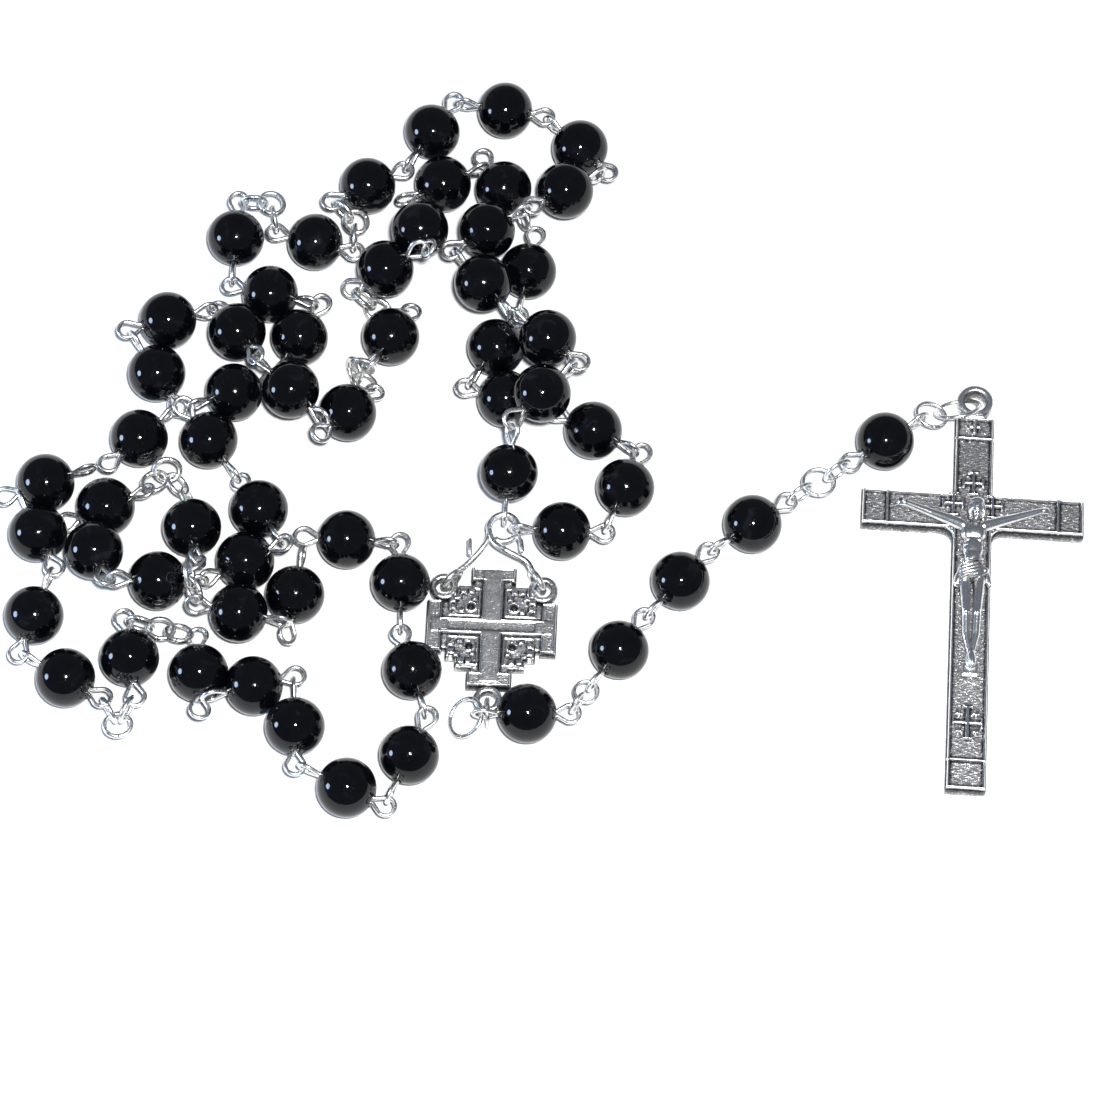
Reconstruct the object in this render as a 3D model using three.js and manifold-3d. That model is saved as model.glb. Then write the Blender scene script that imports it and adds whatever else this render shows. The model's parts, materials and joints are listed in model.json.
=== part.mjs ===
// A five-decade rosary lying loosely heaped on a table: fifty-nine round beads on wire pins whose
// looped ends hang in one another, short chains beside the larger-spaced beads, a cross-shaped
// centre medal on a wire hanger, and a pendant that ends in a crucifix.
// Millimetres, +Z up, the table at Z = 0, the pendant running towards +X.

import * as THREE from "three";
import { mergeVertices } from "three/addons/utils/BufferGeometryUtils.js";
import Module from "manifold-3d";

const wasm = await Module();
wasm.setup();

// ---------------------------------------------------------------- driving dimensions

const BEAD_R = 3.5;
const BORE_R = 0.55; // bore of the beads that turn on their pins
const PIN_R = 0.28; // wire of the bead pins
const EYE_R = 1.25; // centre line of the eye at each end of a pin
const EYE_SEAT = 0.1; // how far an eye's wire sinks into the mouth of its bead's bore
const EYE_OFFSET = BEAD_R + EYE_R + PIN_R - EYE_SEAT; // bead centre to eye centre
const CHAIN_R = 1.55; // centre line of a chain link
const CHAIN_WIRE_R = 0.3;
const SLACK = 0.3; // free play between two rings that hang in one another
const JUMP_R = 2.3; // centre line of the two large jump rings
const JUMP_WIRE_R = 0.35;
const HOOK_WIRE_R = 0.4;
const HOOK_RING_R = 1.75; // the hanger's central ring, which both ends of the loop hang from
const HOOK_EYE_R = 1.35; // the two rings that hold the medal

const MEDAL_ARM = 7.7; // centre of the medal to the end of an arm
const MEDAL_ARM_HALF = 1.5;
const MEDAL_BAR_HALF = 3; // half the width of the bar across each arm's end
const MEDAL_BAR_DEPTH = 1.9;
const MEDAL_STEP = 5.3; // half the square of the four small crosses
const MEDAL_PIT = 2.55; // centre of each pierced hole, along both axes
const MEDAL_PIT_R = 0.5;
const MEDAL_THICK = 1.6;
const MEDAL_TAB_THICK = 1;
const MEDAL_Z = 1.8; // middle of the medal's thickness above the table
const TAB_HOLE_R = 0.95;
const TAB_R = 1.8;
const MEDAL_TOP_TAB = new THREE.Vector2(5.9, 5.1);
const MEDAL_FOOT_TAB = 9.2;

const CROSS_W = 4.7; // width of the upright and of the arms
const CROSS_T = 2.2;
const CROSS_TOP = 2.2; // bail hole to the top of the upright
const CROSS_ARM_Y = 14.9; // bail hole to the middle of the arms
const CROSS_FOOT = 50.6; // bail hole to the foot
const CROSS_ARM_HALF = 13.3;
const CROSS_FILLET = 1.4;
const BAIL_HOLE_R = 1.35;
const BAIL_R = 2.15;
const BAIL_T = 1;
const BAIL_NECK = 1.3; // half the width of the neck below the bail
const RING_DIP = THREE.MathUtils.degToRad(20); // slope of the ring before it
const BAIL_RING_Z = 2.17;
const BAIL_LEAN = THREE.MathUtils.degToRad(45); // how far the ring through the bail leans over
const FIGURE_GAP = 0.3; // the figure stands this far off the cross, on its own cast pads
const FIGURE_REACH = 8.6; // middle of the cross to each hand
const FIGURE_FEET_Y = -36; // bail hole to the feet

const FOOT_RING_R = 1.6; // the small ring in the medal's foot tab
const SINGLE_EYE_R = 1.3; // the wider eye that the foot ring and the jump ring share
const JUMP_TILT = THREE.MathUtils.degToRad(38);
const FOOT_RING_Z = FOOT_RING_R + CHAIN_WIRE_R + 0.05;
const SMALL_RING_R = 1.3; // the two rings after the pendant's first bead
const LINK_R = 1.8; // the pendant's other plain rings
const CRUCIFIX_RING_R = 2.6;
const JUMP_IN_EYE = new THREE.Vector3(-0.4, 0, 0.15); // where the jump ring's wire crosses the eye

const TIE_R = 0.25;
const NEARLY_STRAIGHT = 0.15; // sine of the bend below which a joint counts as straight
const LEVEL_ENOUGH = 0.3; // sine of the slope up to which a flat ring stays level

const RING_SIDES = 8;
const BEAD_SIDES = 8;
const BEAD_RINGS = 6;

// ---------------------------------------------------------------- places on the table

const HANGER = new THREE.Vector3(-5.5, 2.9, BEAD_R);
const LAST_END_Z = 2.7; // the last link slopes down to the hanger, so its line ends below the ring
const MEDAL_CENTRE = new THREE.Vector2(-6.9, -9.4);
const MEDAL_TURN = THREE.MathUtils.degToRad(-2.4);

// Each decade is ten beads, each with the place of the joint after it: bead x, y, joint x, y.
// A third number lifts a bead or a joint off the table where one strand lies over another.
const DECADES = [
  [
    [[1.5, 3.2], [6.7, 4.2]],
    [[9.7, 10], [11.8, 15]],
    [[6.6, 16.5], [0.9, 18]],
    [[-5.1, 19.7], [-10.3, 22]],
    [[-7.3, 26.8], [-4, 32]],
    [[-2.3, 38.9], [-1.5, 44.6]],
    [[-5, 48.3], [-8.3, 53.2]],
    [[-12.2, 49.3], [-15.4, 46, 2.6]],
    [[-16.7, 43.5], [-17.2, 39, 6]],
    [[-19.9, 36.5], [-22.6, 32.4]],
  ],
  [
    [[-23.4, 19.7], [-27.7, 16.6]],
    [[-31, 19.7], [-34.4, 24, 7]],
    [[-38, 28.6], [-42.4, 33.3]],
    [[-47, 31.1], [-51.5, 27.5]],
    [[-47, 23.3], [-43.7, 18.9]],
    [[-48.7, 15.8], [-53.6, 11.9]],
    [[-58.5, 9.5], [-63.6, 7.2]],
    [[-60.9, 1.8], [-57.9, -3.5]],
    [[-59.1, -8.3], [-62.5, -12]],
    [[-57.1, -15.6], [-53.3, -20.2]],
  ],
  [
    [[-40.9, -15.1], [-39.9, -20]],
    [[-34.2, -17.1], [-28.8, -16.8]],
    [[-29.3, -22.7], [-29.8, -28.5]],
    [[-24.3, -29.5], [-19.8, -30.5]],
    [[-16.1, -25.5], [-13.7, -21.3]],
    [[-15.3, -16.1], [-17, -9.7]],
    [[-17.8, -4.3], [-19.4, 1.5]],
    [[-24.1, 1.4], [-29.2, 2.2]],
    [[-29.5, -4.3], [-30.9, -9.7]],
    [[-37, -8.8], [-42, -9.1, 5]],
  ],
  [
    [[-52.1, 6.1], [-57, 4]],
    [[-53.4, -1.6], [-50.4, -6.6]],
    [[-46.3, -3.9], [-41.8, -2.4]],
    [[-36.1, -1.7], [-31.2, 1.8]],
    [[-35.9, 5.8], [-40.4, 9]],
    [[-41, 14.1], [-42.6, 19]],
    [[-38.3, 20.7], [-33.9, 22.5]],
    [[-30.2, 28.1], [-28, 33.2]],
    [[-33.6, 35], [-39, 36.8]],
    [[-37.2, 41.7], [-34.9, 46.9]],
  ],
  [
    [[-21.5, 48.7], [-16.8, 52.9]],
    [[-14.1, 56.9], [-11.3, 61.6]],
    [[-5.8, 60.9], [-0.4, 60.1]],
    [[2.2, 55.8], [7.1, 51]],
    [[2.2, 47.6], [-3.7, 45.9, 6]],
    [[-9.2, 42.5], [-13.2, 38.8]],
    [[-8.8, 34.2], [-3.7, 31, 6.5]],
    [[0.2, 26.4], [3.6, 21.9, 6]],
    [[0.4, 16.2, 8.7], [-3.2, 15.2, 7]],
    [[-3.7, 9.9]],
  ],
];

// Between decades: the middle of the chain before the single bead, its near eye, the bead,
// its far eye, the middle of the chain after it, and the near eye of the next decade.
const SINGLES = [
  [[-18.5, 32.3], [-14.4, 32.1], [-19.1, 28.8], [-23.5, 25.5], [-22.5, 22.5], [-19.4, 22.7]],
  [[-49.6, -21.3], [-50.4, -17.2], [-49.1, -12], [-48.2, -7], [-45, -8.5], [-43.2, -11.8]],
  [[-43, -6, 7.5], [-42.8, -2.6, 6.5], [-42.6, 2.5], [-42.4, 7.5], [-45, 9.5], [-48, 7.6]],
  [[-32.5, 48.5], [-31.3, 45.8], [-28.7, 41.3], [-26, 37.1], [-25, 40.5], [-25.3, 45]],
];

// The pendant's beads, from the medal to the crucifix, and the crucifix's bail hole.
const PENDANT_EYE = new THREE.Vector3(-7.6, -20.95, BEAD_R);
const PENDANT_DIRECTIONS = [0, 54, 48, 35, 34, 34, 18]; // degrees of each straight stretch
const CROSS_TURN = THREE.MathUtils.degToRad(-4);

// ---------------------------------------------------------------- materials

const blackGlass = new THREE.MeshStandardMaterial({ color: 0x07080b, roughness: 0.12 });
const silverWire = new THREE.MeshStandardMaterial({ color: 0xc9cbce, roughness: 0.25, metalness: 1 });
const antiqueSilver = new THREE.MeshStandardMaterial({ color: 0x8d8f92, roughness: 0.4, metalness: 1 });

// ---------------------------------------------------------------- solids

function solidOf(geometry, matrix = new THREE.Matrix4()) {
  const bare = geometry.index ? geometry.toNonIndexed() : geometry.clone();
  bare.deleteAttribute("normal");
  bare.deleteAttribute("uv");
  const merged = mergeVertices(bare.applyMatrix4(matrix), 1e-4);
  return new wasm.Manifold(
    new wasm.Mesh({
      numProp: 3,
      vertProperties: merged.attributes.position.array,
      triVerts: new Uint32Array(merged.index.array),
    }),
  );
}

function geometryOf(solid) {
  const mesh = solid.getMesh();
  const geometry = new THREE.BufferGeometry();
  geometry.setAttribute("position", new THREE.BufferAttribute(mesh.vertProperties, 3));
  geometry.setIndex(new THREE.BufferAttribute(mesh.triVerts, 1));
  const flat = geometry.toNonIndexed();
  flat.computeVertexNormals();
  return flat;
}

function joined(solids) {
  return solids.reduce((whole, solid) => whole.add(solid));
}

function moved(x, y = 0, z = 0) {
  return new THREE.Matrix4().makeTranslation(x, y, z);
}

const UP = new THREE.Vector3(0, 0, 1);

// A frame at a point, with X along one direction and Z as near as it can be to another.
function frameAt(point, along, up = UP) {
  const x = along.clone().normalize();
  const y = up.clone().cross(x).normalize();
  return new THREE.Matrix4().makeBasis(x, y, x.clone().cross(y)).setPosition(point);
}

// A ring round a centre; "across" is the direction of its axis.
function ringAt(centre, along, across, centreLine, wire) {
  return solidOf(new THREE.TorusGeometry(centreLine, wire, 3, RING_SIDES), frameAt(centre, along, across));
}

// A straight wire between two points.
function rodAt(from, to, radius) {
  const span = to.clone().sub(from);
  const cylinder = new THREE.CylinderGeometry(radius, radius, span.length(), 4);
  cylinder.rotateZ(-Math.PI / 2);
  return solidOf(cylinder.translate(span.length() / 2, 0, 0), frameAt(from, span));
}

// A bead threaded along a direction; with a bore it is open right through.
function beadAt(centre, along, boreR = 0) {
  const poleAngle = Math.asin(boreR / BEAD_R);
  const profile = [];
  for (let i = 0; i <= BEAD_RINGS; i++) {
    const angle = poleAngle + ((Math.PI - 2 * poleAngle) * i) / BEAD_RINGS;
    const radius = i === 0 || i === BEAD_RINGS ? boreR : BEAD_R * Math.sin(angle);
    profile.push(new THREE.Vector2(radius, -BEAD_R * Math.cos(angle)));
  }
  if (boreR) profile.push(profile[0].clone());
  const round = new THREE.LatheGeometry(profile, BEAD_SIDES);
  return solidOf(round.rotateZ(-Math.PI / 2), frameAt(centre, along));
}

// A bead pin from its near eye's centre; each eye's axis lies across the pin.
function pinAt(nearEye, along, nearAcross, farAcross, nearR = EYE_R) {
  const farEye = nearEye.clone().addScaledVector(along, 2 * EYE_OFFSET);
  return joined([
    ringAt(nearEye, along, nearAcross, nearR, PIN_R),
    rodAt(
      nearEye.clone().addScaledVector(along, nearR),
      farEye.clone().addScaledVector(along, -EYE_R),
      PIN_R,
    ),
    ringAt(farEye, along.clone().negate(), farAcross, EYE_R, PIN_R),
  ]);
}

// A bead and its two eyes in one piece.
function beadLinkAt(nearEye, along, nearAcross, farAcross) {
  const centre = nearEye.clone().addScaledVector(along, EYE_OFFSET);
  const farEye = centre.clone().addScaledVector(along, EYE_OFFSET);
  return joined([
    ringAt(nearEye, along, nearAcross, EYE_R, PIN_R),
    beadAt(centre, along),
    ringAt(farEye, along, farAcross, EYE_R, PIN_R),
  ]);
}

// ---------------------------------------------------------------- how the strand lies

// Distance between the centres of two rings that hang in one another.
function hang(ringA, wireA, ringB, wireB) {
  return ringA - wireA + ringB - wireB - SLACK;
}

const EYE_TO_EYE = hang(EYE_R, PIN_R, EYE_R, PIN_R);
const EYE_TO_CHAIN = hang(EYE_R, PIN_R, CHAIN_R, CHAIN_WIRE_R);
const CHAIN_TO_CHAIN = hang(CHAIN_R, CHAIN_WIRE_R, CHAIN_R, CHAIN_WIRE_R);
const HOOK_TO_EYE = hang(HOOK_RING_R, HOOK_WIRE_R, EYE_R, PIN_R);
const HALF_CHAIN = EYE_TO_CHAIN + CHAIN_TO_CHAIN;

const BEAD_SPACE = BEAD_R + 0.05; // radii kept clear of the neighbours while the strand settles
const EYE_SPACE = EYE_R + PIN_R + 0.06;
const CHAIN_SPACE = CHAIN_R + CHAIN_WIRE_R + 0.06;

function place([x, y, z = BEAD_R]) {
  return new THREE.Vector3(x, y, z);
}

// A stretch of strand is a straight piece from one flat ring's centre to the next: "lead" is the
// distance to its own near eye, and "balls" are the round spaces that it fills along the way.
function beadStretch(lead, trail, beadPlace) {
  const balls = [{ at: lead + EYE_OFFSET, space: BEAD_SPACE, goal: place(beadPlace), isBead: true }];
  if (lead > 0) balls.push({ at: lead, space: EYE_SPACE });
  balls.push({ at: lead + 2 * EYE_OFFSET, space: EYE_SPACE });
  return { lead, length: lead + 2 * EYE_OFFSET + trail, balls };
}

function chainStretch(first) {
  const lead = first ? EYE_TO_CHAIN : CHAIN_TO_CHAIN;
  const balls = [{ at: lead, space: CHAIN_SPACE }];
  if (first) balls.push({ at: HALF_CHAIN, space: CHAIN_SPACE });
  else balls.push({ at: HALF_CHAIN, space: EYE_SPACE });
  return { lead, length: HALF_CHAIN, balls };
}

function layStrand() {
  const stretches = [];
  const joints = [HANGER.clone()];
  const add = (stretch, end) => {
    stretches.push(stretch);
    joints.push(end);
  };
  DECADES.forEach((decade, d) => {
    decade.forEach(([beadPlace, jointPlace], i) => {
      const afterChain = d > 0 && i === 0;
      const atHanger = d === 0 && i === 0;
      const last = jointPlace === undefined;
      const lead = afterChain ? 0 : atHanger ? HOOK_TO_EYE : EYE_TO_EYE;
      const stretch = beadStretch(lead, last ? HOOK_TO_EYE : 0, beadPlace);
      stretch.nearUpright = !afterChain;
      stretch.farUpright = last;
      add(stretch, last ? HANGER.clone().setZ(LAST_END_Z) : place(jointPlace));
    });
    if (d === SINGLES.length) return;
    const [chainIn, nearEye, beadPlace, farEye, chainOut, nextEye] = SINGLES[d];
    add(chainStretch(true), place(chainIn));
    add(chainStretch(false), place(nearEye));
    add({ ...beadStretch(0, 0, beadPlace), nearUpright: false, farUpright: false }, place(farEye));
    add(chainStretch(true), place(chainOut));
    add(chainStretch(false), place(nextEye));
  });
  return { stretches, joints };
}

// Other pieces that the strand lies beside: the hanger's ring, the medal's edge and a jump ring.
const OBSTACLES = [
  { centre: HANGER, space: HOOK_RING_R + HOOK_WIRE_R, ends: true },
  { centre: new THREE.Vector3(-12.3, -4.2, MEDAL_Z), space: 2 },
  { centre: new THREE.Vector3(-12.8, -8.9, MEDAL_Z), space: 2.2 },
  { centre: new THREE.Vector3(-12.4, -11, MEDAL_Z), space: 2.2 },
  { centre: new THREE.Vector3(-10.3, -21, 2.2), space: 2.9 },
  { centre: new THREE.Vector3(-9.5, 0.5, BEAD_R), space: 1 },
];

const SETTLING_STEPS = 900;
const PULL = 0.25; // how strongly a bead keeps to its place at first
const FALL = 0.1; // millimetres that a bead drops in one step
const LEVEL = 0.12; // how strongly a joint keeps to its listed height
const JOINT_REGION = 4; // the wire rings within this length of a joint hang in one another there

// Moves the joints until each stretch has its length, nothing overlaps, and the beads lie on the
// table or on what is under them. The hanger holds both ends.
function settle({ stretches, joints }) {
  const balls = [];
  stretches.forEach((stretch, s) => stretch.balls.forEach((ball) => balls.push({ ...ball, s })));
  const centre = (ball) => {
    const t = ball.at / stretches[ball.s].length;
    return joints[ball.s].clone().lerp(joints[ball.s + 1], t);
  };
  const heights = joints.map((joint) => joint.z);
  const isFixed = (j) => j === 0 || j === joints.length - 1;
  const push = (ball, shift) => {
    const t = ball.at / stretches[ball.s].length;
    const weight = 1 / ((1 - t) ** 2 + t ** 2);
    if (!isFixed(ball.s)) joints[ball.s].addScaledVector(shift, (1 - t) * weight);
    if (!isFixed(ball.s + 1)) joints[ball.s + 1].addScaledVector(shift, t * weight);
  };
  // Whether two spaces on neighbouring stretches are both well away from the joint they share.
  const bothFromJoint = (before, after) =>
    stretches[before.s].length - before.at > JOINT_REGION && after.at > JOINT_REGION;
  for (let step = 0; step < SETTLING_STEPS; step++) {
    const ease = 1 - step / SETTLING_STEPS;
    joints.forEach((joint, j) => {
      if (!isFixed(j)) joint.z += (heights[j] - joint.z) * LEVEL * ease;
    });
    const seats = balls.map(centre);
    balls.forEach((ball, i) => {
      if (ball.isBead) {
        const shift = ball.goal.clone().sub(seats[i]).multiplyScalar(PULL * ease);
        if (ease < 0.7) shift.z = -Math.min(FALL, seats[i].z - BEAD_R) * ease;
        push(ball, shift);
      }
      const sunk = ball.space - (ball.isBead ? 0.05 : 0) - seats[i].z;
      if (sunk > 0) push(ball, new THREE.Vector3(0, 0, sunk));
    });
    for (let i = 0; i < balls.length; i++) {
      for (let j = i + 1; j < balls.length; j++) {
        const apart = balls[j].s - balls[i].s;
        if (apart === 0 || (apart === 1 && !bothFromJoint(balls[i], balls[j]))) continue;
        const gap = seats[j].clone().sub(seats[i]);
        const overlap = balls[i].space + balls[j].space - gap.length();
        if (overlap <= 0) continue;
        gap.setLength(overlap / 2);
        push(balls[j], gap);
        push(balls[i], gap.negate());
      }
    }
    balls.forEach((ball, i) => {
      for (const obstacle of OBSTACLES) {
        if (obstacle.ends && (ball.s === 0 || ball.s === stretches.length - 1)) continue;
        const gap = seats[i].clone().sub(obstacle.centre);
        const overlap = ball.space + obstacle.space - gap.length();
        if (overlap > 0) push(ball, gap.setLength(overlap));
      }
    });
    for (let pass = 0; pass < 12; pass++) {
      stretches.forEach((stretch, s) => {
        const gap = joints[s + 1].clone().sub(joints[s]);
        const stretchBy = gap.length() - stretch.length;
        gap.setLength(stretchBy);
        const share = isFixed(s) || isFixed(s + 1) ? 1 : 0.5;
        if (!isFixed(s)) joints[s].addScaledVector(gap, share);
        if (!isFixed(s + 1)) joints[s + 1].addScaledVector(gap, -share);
      });
    }
  }
  return { stretches, joints };
}

// The axis of each flat ring: straight up where the strand runs level on both sides of it, and
// square to both stretches where it climbs over another strand.
function ringAxes(joints) {
  const directions = joints.slice(1).map((joint, s) => joint.clone().sub(joints[s]).normalize());
  const axes = joints.map((_, j) => {
    const before = directions[Math.max(j - 1, 0)];
    const after = directions[Math.min(j, directions.length - 1)];
    if (Math.max(Math.abs(before.z), Math.abs(after.z)) < LEVEL_ENOUGH) return UP.clone();
    const axis = before.clone().cross(after);
    if (axis.length() < NEARLY_STRAIGHT) axis.copy(UP).addScaledVector(before, -before.z);
    if (axis.z < 0) axis.negate();
    return axis.normalize();
  });
  return { directions, axes };
}

// ---------------------------------------------------------------- nodes

const rosary = new THREE.Group();

// Adds a solid that is given where it lies, in a node whose own frame is at the given place.
function addNode(name, solid, material, frame) {
  const local = solid.transform(frame.clone().invert().elements);
  const mesh = new THREE.Mesh(geometryOf(local), material);
  mesh.name = name;
  mesh.applyMatrix4(frame);
  rosary.add(mesh);
}

// The short tie that joins two rings, which hang in one another, where they share a node.
function tieAt(ringCentre, along, nearReach, farReach) {
  return rodAt(
    ringCentre.clone().addScaledVector(along, nearReach),
    ringCentre.clone().addScaledVector(along, farReach),
    TIE_R,
  );
}

function addLoop({ stretches, joints }) {
  const { directions, axes } = ringAxes(joints);
  const eyeAt = (s) => joints[s].clone().addScaledVector(directions[s], stretches[s].lead);
  const uprightAcross = (s, axis) => directions[s].clone().cross(axis);

  const linkAt = (s) => {
    const { nearUpright, farUpright } = stretches[s];
    const near = nearUpright ? uprightAcross(s, axes[s]) : axes[s];
    const far = farUpright ? uprightAcross(s, axes[s + 1]) : axes[s + 1];
    return beadLinkAt(eyeAt(s), directions[s], near, far);
  };

  const addPair = (s, name) => {
    const tie = tieAt(joints[s + 1], directions[s + 1], EYE_TO_EYE - EYE_R - PIN_R, EYE_R);
    const frame = frameAt(eyeAt(s), directions[s]);
    addNode(name, joined([linkAt(s), tie, linkAt(s + 1)]), blackGlass, frame);
  };

  const addChain = (s, name) => {
    const first = eyeAt(s);
    const last = eyeAt(s + 1);
    const reach = CHAIN_R + CHAIN_WIRE_R;
    const between = (j) => axes[j].clone().add(axes[j + 1]);
    const links = [
      ringAt(first, directions[s], uprightAcross(s, between(s)), CHAIN_R, CHAIN_WIRE_R),
      tieAt(first, directions[s], CHAIN_TO_CHAIN - reach, reach),
      ringAt(joints[s + 1], directions[s], axes[s + 1], CHAIN_R, CHAIN_WIRE_R),
      tieAt(joints[s + 1], directions[s + 1], CHAIN_TO_CHAIN - reach, reach),
      ringAt(last, directions[s + 1], uprightAcross(s + 1, between(s + 1)), CHAIN_R, CHAIN_WIRE_R),
    ];
    addNode(name, joined(links), silverWire, frameAt(first, directions[s]));
  };

  let s = 0;
  DECADES.forEach((decade, d) => {
    for (let i = 0; i < decade.length; i += 2) {
      addPair(s, `decade_${d + 1}_beads_${i + 1}_${i + 2}`);
      s += 2;
    }
    if (d === SINGLES.length) return;
    addChain(s, `chain_before_single_${d + 1}`);
    addNode(`single_bead_${d + 1}`, linkAt(s + 2), blackGlass, frameAt(joints[s + 2], directions[s + 2]));
    addChain(s + 3, `chain_after_single_${d + 1}`);
    s += 5;
  });
}

// ---------------------------------------------------------------- the medal and its hanger

function extruded(shape, depth, curveSegments = 3) {
  const geometry = new THREE.ExtrudeGeometry(shape, { depth, bevelEnabled: false, curveSegments });
  return geometry.translate(0, 0, -depth / 2);
}

function circle(x, y, radius, Kind = THREE.Path) {
  const path = new Kind();
  path.absarc(x, y, radius, 0, 2 * Math.PI);
  return path;
}

function rectangle(x0, y0, x1, y1) {
  return new THREE.Shape([
    new THREE.Vector2(x0, y0),
    new THREE.Vector2(x1, y0),
    new THREE.Vector2(x1, y1),
    new THREE.Vector2(x0, y1),
  ]);
}

function tab(x, y) {
  const plate = circle(x, y, TAB_R, THREE.Shape);
  plate.holes.push(circle(x, y, TAB_HOLE_R));
  return solidOf(extruded(plate, MEDAL_TAB_THICK, 12));
}

function tabHole(x, y) {
  return solidOf(extruded(circle(x, y, TAB_HOLE_R, THREE.Shape), 2 * MEDAL_THICK, 12));
}

const medalFrame = new THREE.Matrix4()
  .makeRotationZ(MEDAL_TURN)
  .setPosition(MEDAL_CENTRE.x, MEDAL_CENTRE.y, MEDAL_Z);

const MEDAL_TABS = [
  [-MEDAL_TOP_TAB.x, MEDAL_TOP_TAB.y],
  [MEDAL_TOP_TAB.x, MEDAL_TOP_TAB.y],
  [0, -MEDAL_FOOT_TAB],
];

function onMedal([x, y]) {
  return new THREE.Vector3(x, y, 0).applyMatrix4(medalFrame);
}

// A cross with a bar across each arm, over the stepped square of the four small crosses.
function medalSolid() {
  const upright = rectangle(-MEDAL_ARM_HALF, -MEDAL_ARM, MEDAL_ARM_HALF, MEDAL_ARM);
  const square = rectangle(-MEDAL_STEP, -MEDAL_STEP, MEDAL_STEP, MEDAL_STEP);
  for (const x of [-MEDAL_PIT, MEDAL_PIT]) {
    for (const y of [-MEDAL_PIT, MEDAL_PIT]) square.holes.push(circle(x, y, MEDAL_PIT_R));
  }
  const bar = rectangle(-MEDAL_BAR_HALF, MEDAL_ARM - MEDAL_BAR_DEPTH, MEDAL_BAR_HALF, MEDAL_ARM);
  const parts = [solidOf(extruded(square, MEDAL_THICK))];
  for (let turn = 0; turn < 4; turn++) {
    const turned = new THREE.Matrix4().makeRotationZ((turn * Math.PI) / 2);
    parts.push(solidOf(extruded(bar, MEDAL_THICK), turned));
    if (turn < 2) parts.push(solidOf(extruded(upright, MEDAL_THICK), turned));
  }
  parts.push(...MEDAL_TABS.map(([x, y]) => tab(x, y)));
  let solid = joined(parts);
  for (const [x, y] of MEDAL_TABS) solid = solid.subtract(tabHole(x, y));
  return solid.transform(medalFrame.elements);
}

// The hanger: a ring that carries both ends of the loop, and two legs that each end in a ring
// through one of the medal's upper tabs.
function hangerSolid() {
  const parts = [ringAt(HANGER, new THREE.Vector3(1, 0, 0), UP, HOOK_RING_R, HOOK_WIRE_R)];
  for (const spot of MEDAL_TABS.slice(0, 2)) {
    const hole = onMedal(spot);
    const toHanger = HANGER.clone().sub(hole).setZ(0).normalize();
    const centre = hole.clone().addScaledVector(toHanger, HOOK_EYE_R);
    parts.push(ringAt(centre, toHanger, toHanger.clone().cross(UP), HOOK_EYE_R, HOOK_WIRE_R));
    const legFoot = centre.clone().addScaledVector(toHanger, HOOK_EYE_R * 0.7);
    legFoot.z = MEDAL_Z + HOOK_EYE_R * 0.7;
    const legHead = HANGER.clone().addScaledVector(toHanger, -HOOK_RING_R);
    parts.push(rodAt(legFoot, legHead, HOOK_WIRE_R));
  }
  return joined(parts);
}

// ---------------------------------------------------------------- the pendant

function turned(degrees) {
  const angle = THREE.MathUtils.degToRad(degrees);
  return new THREE.Vector3(Math.cos(angle), Math.sin(angle), 0);
}

// Adds one plain ring after the last one of a walk along the pendant, and moves the walk to it.
function addRing(walk, name, along, across, radius, wire = CHAIN_WIRE_R) {
  walk.at.addScaledVector(along, hang(walk.radius, walk.wire, radius, wire));
  walk.radius = radius;
  walk.wire = wire;
  addNode(name, ringAt(walk.at, along, across, radius, wire), silverWire, frameAt(walk.at, along));
}

// Adds one pin and its bead after the last ring of a walk, and moves the walk to the far eye.
function addPin(walk, name, along, nearAcross, farAcross, nearR = EYE_R) {
  if (walk.radius) walk.at.addScaledVector(along, hang(walk.radius, walk.wire, nearR, PIN_R));
  const frame = frameAt(walk.at, along);
  addNode(`${name}_pin`, pinAt(walk.at, along, nearAcross, farAcross, nearR), silverWire, frame);
  const centre = walk.at.clone().addScaledVector(along, EYE_OFFSET);
  addNode(`${name}_bead`, beadAt(centre, along, BORE_R), blackGlass, frameAt(centre, along));
  walk.at.addScaledVector(along, 2 * EYE_OFFSET);
  walk.radius = EYE_R;
  walk.wire = PIN_R;
}

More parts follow.
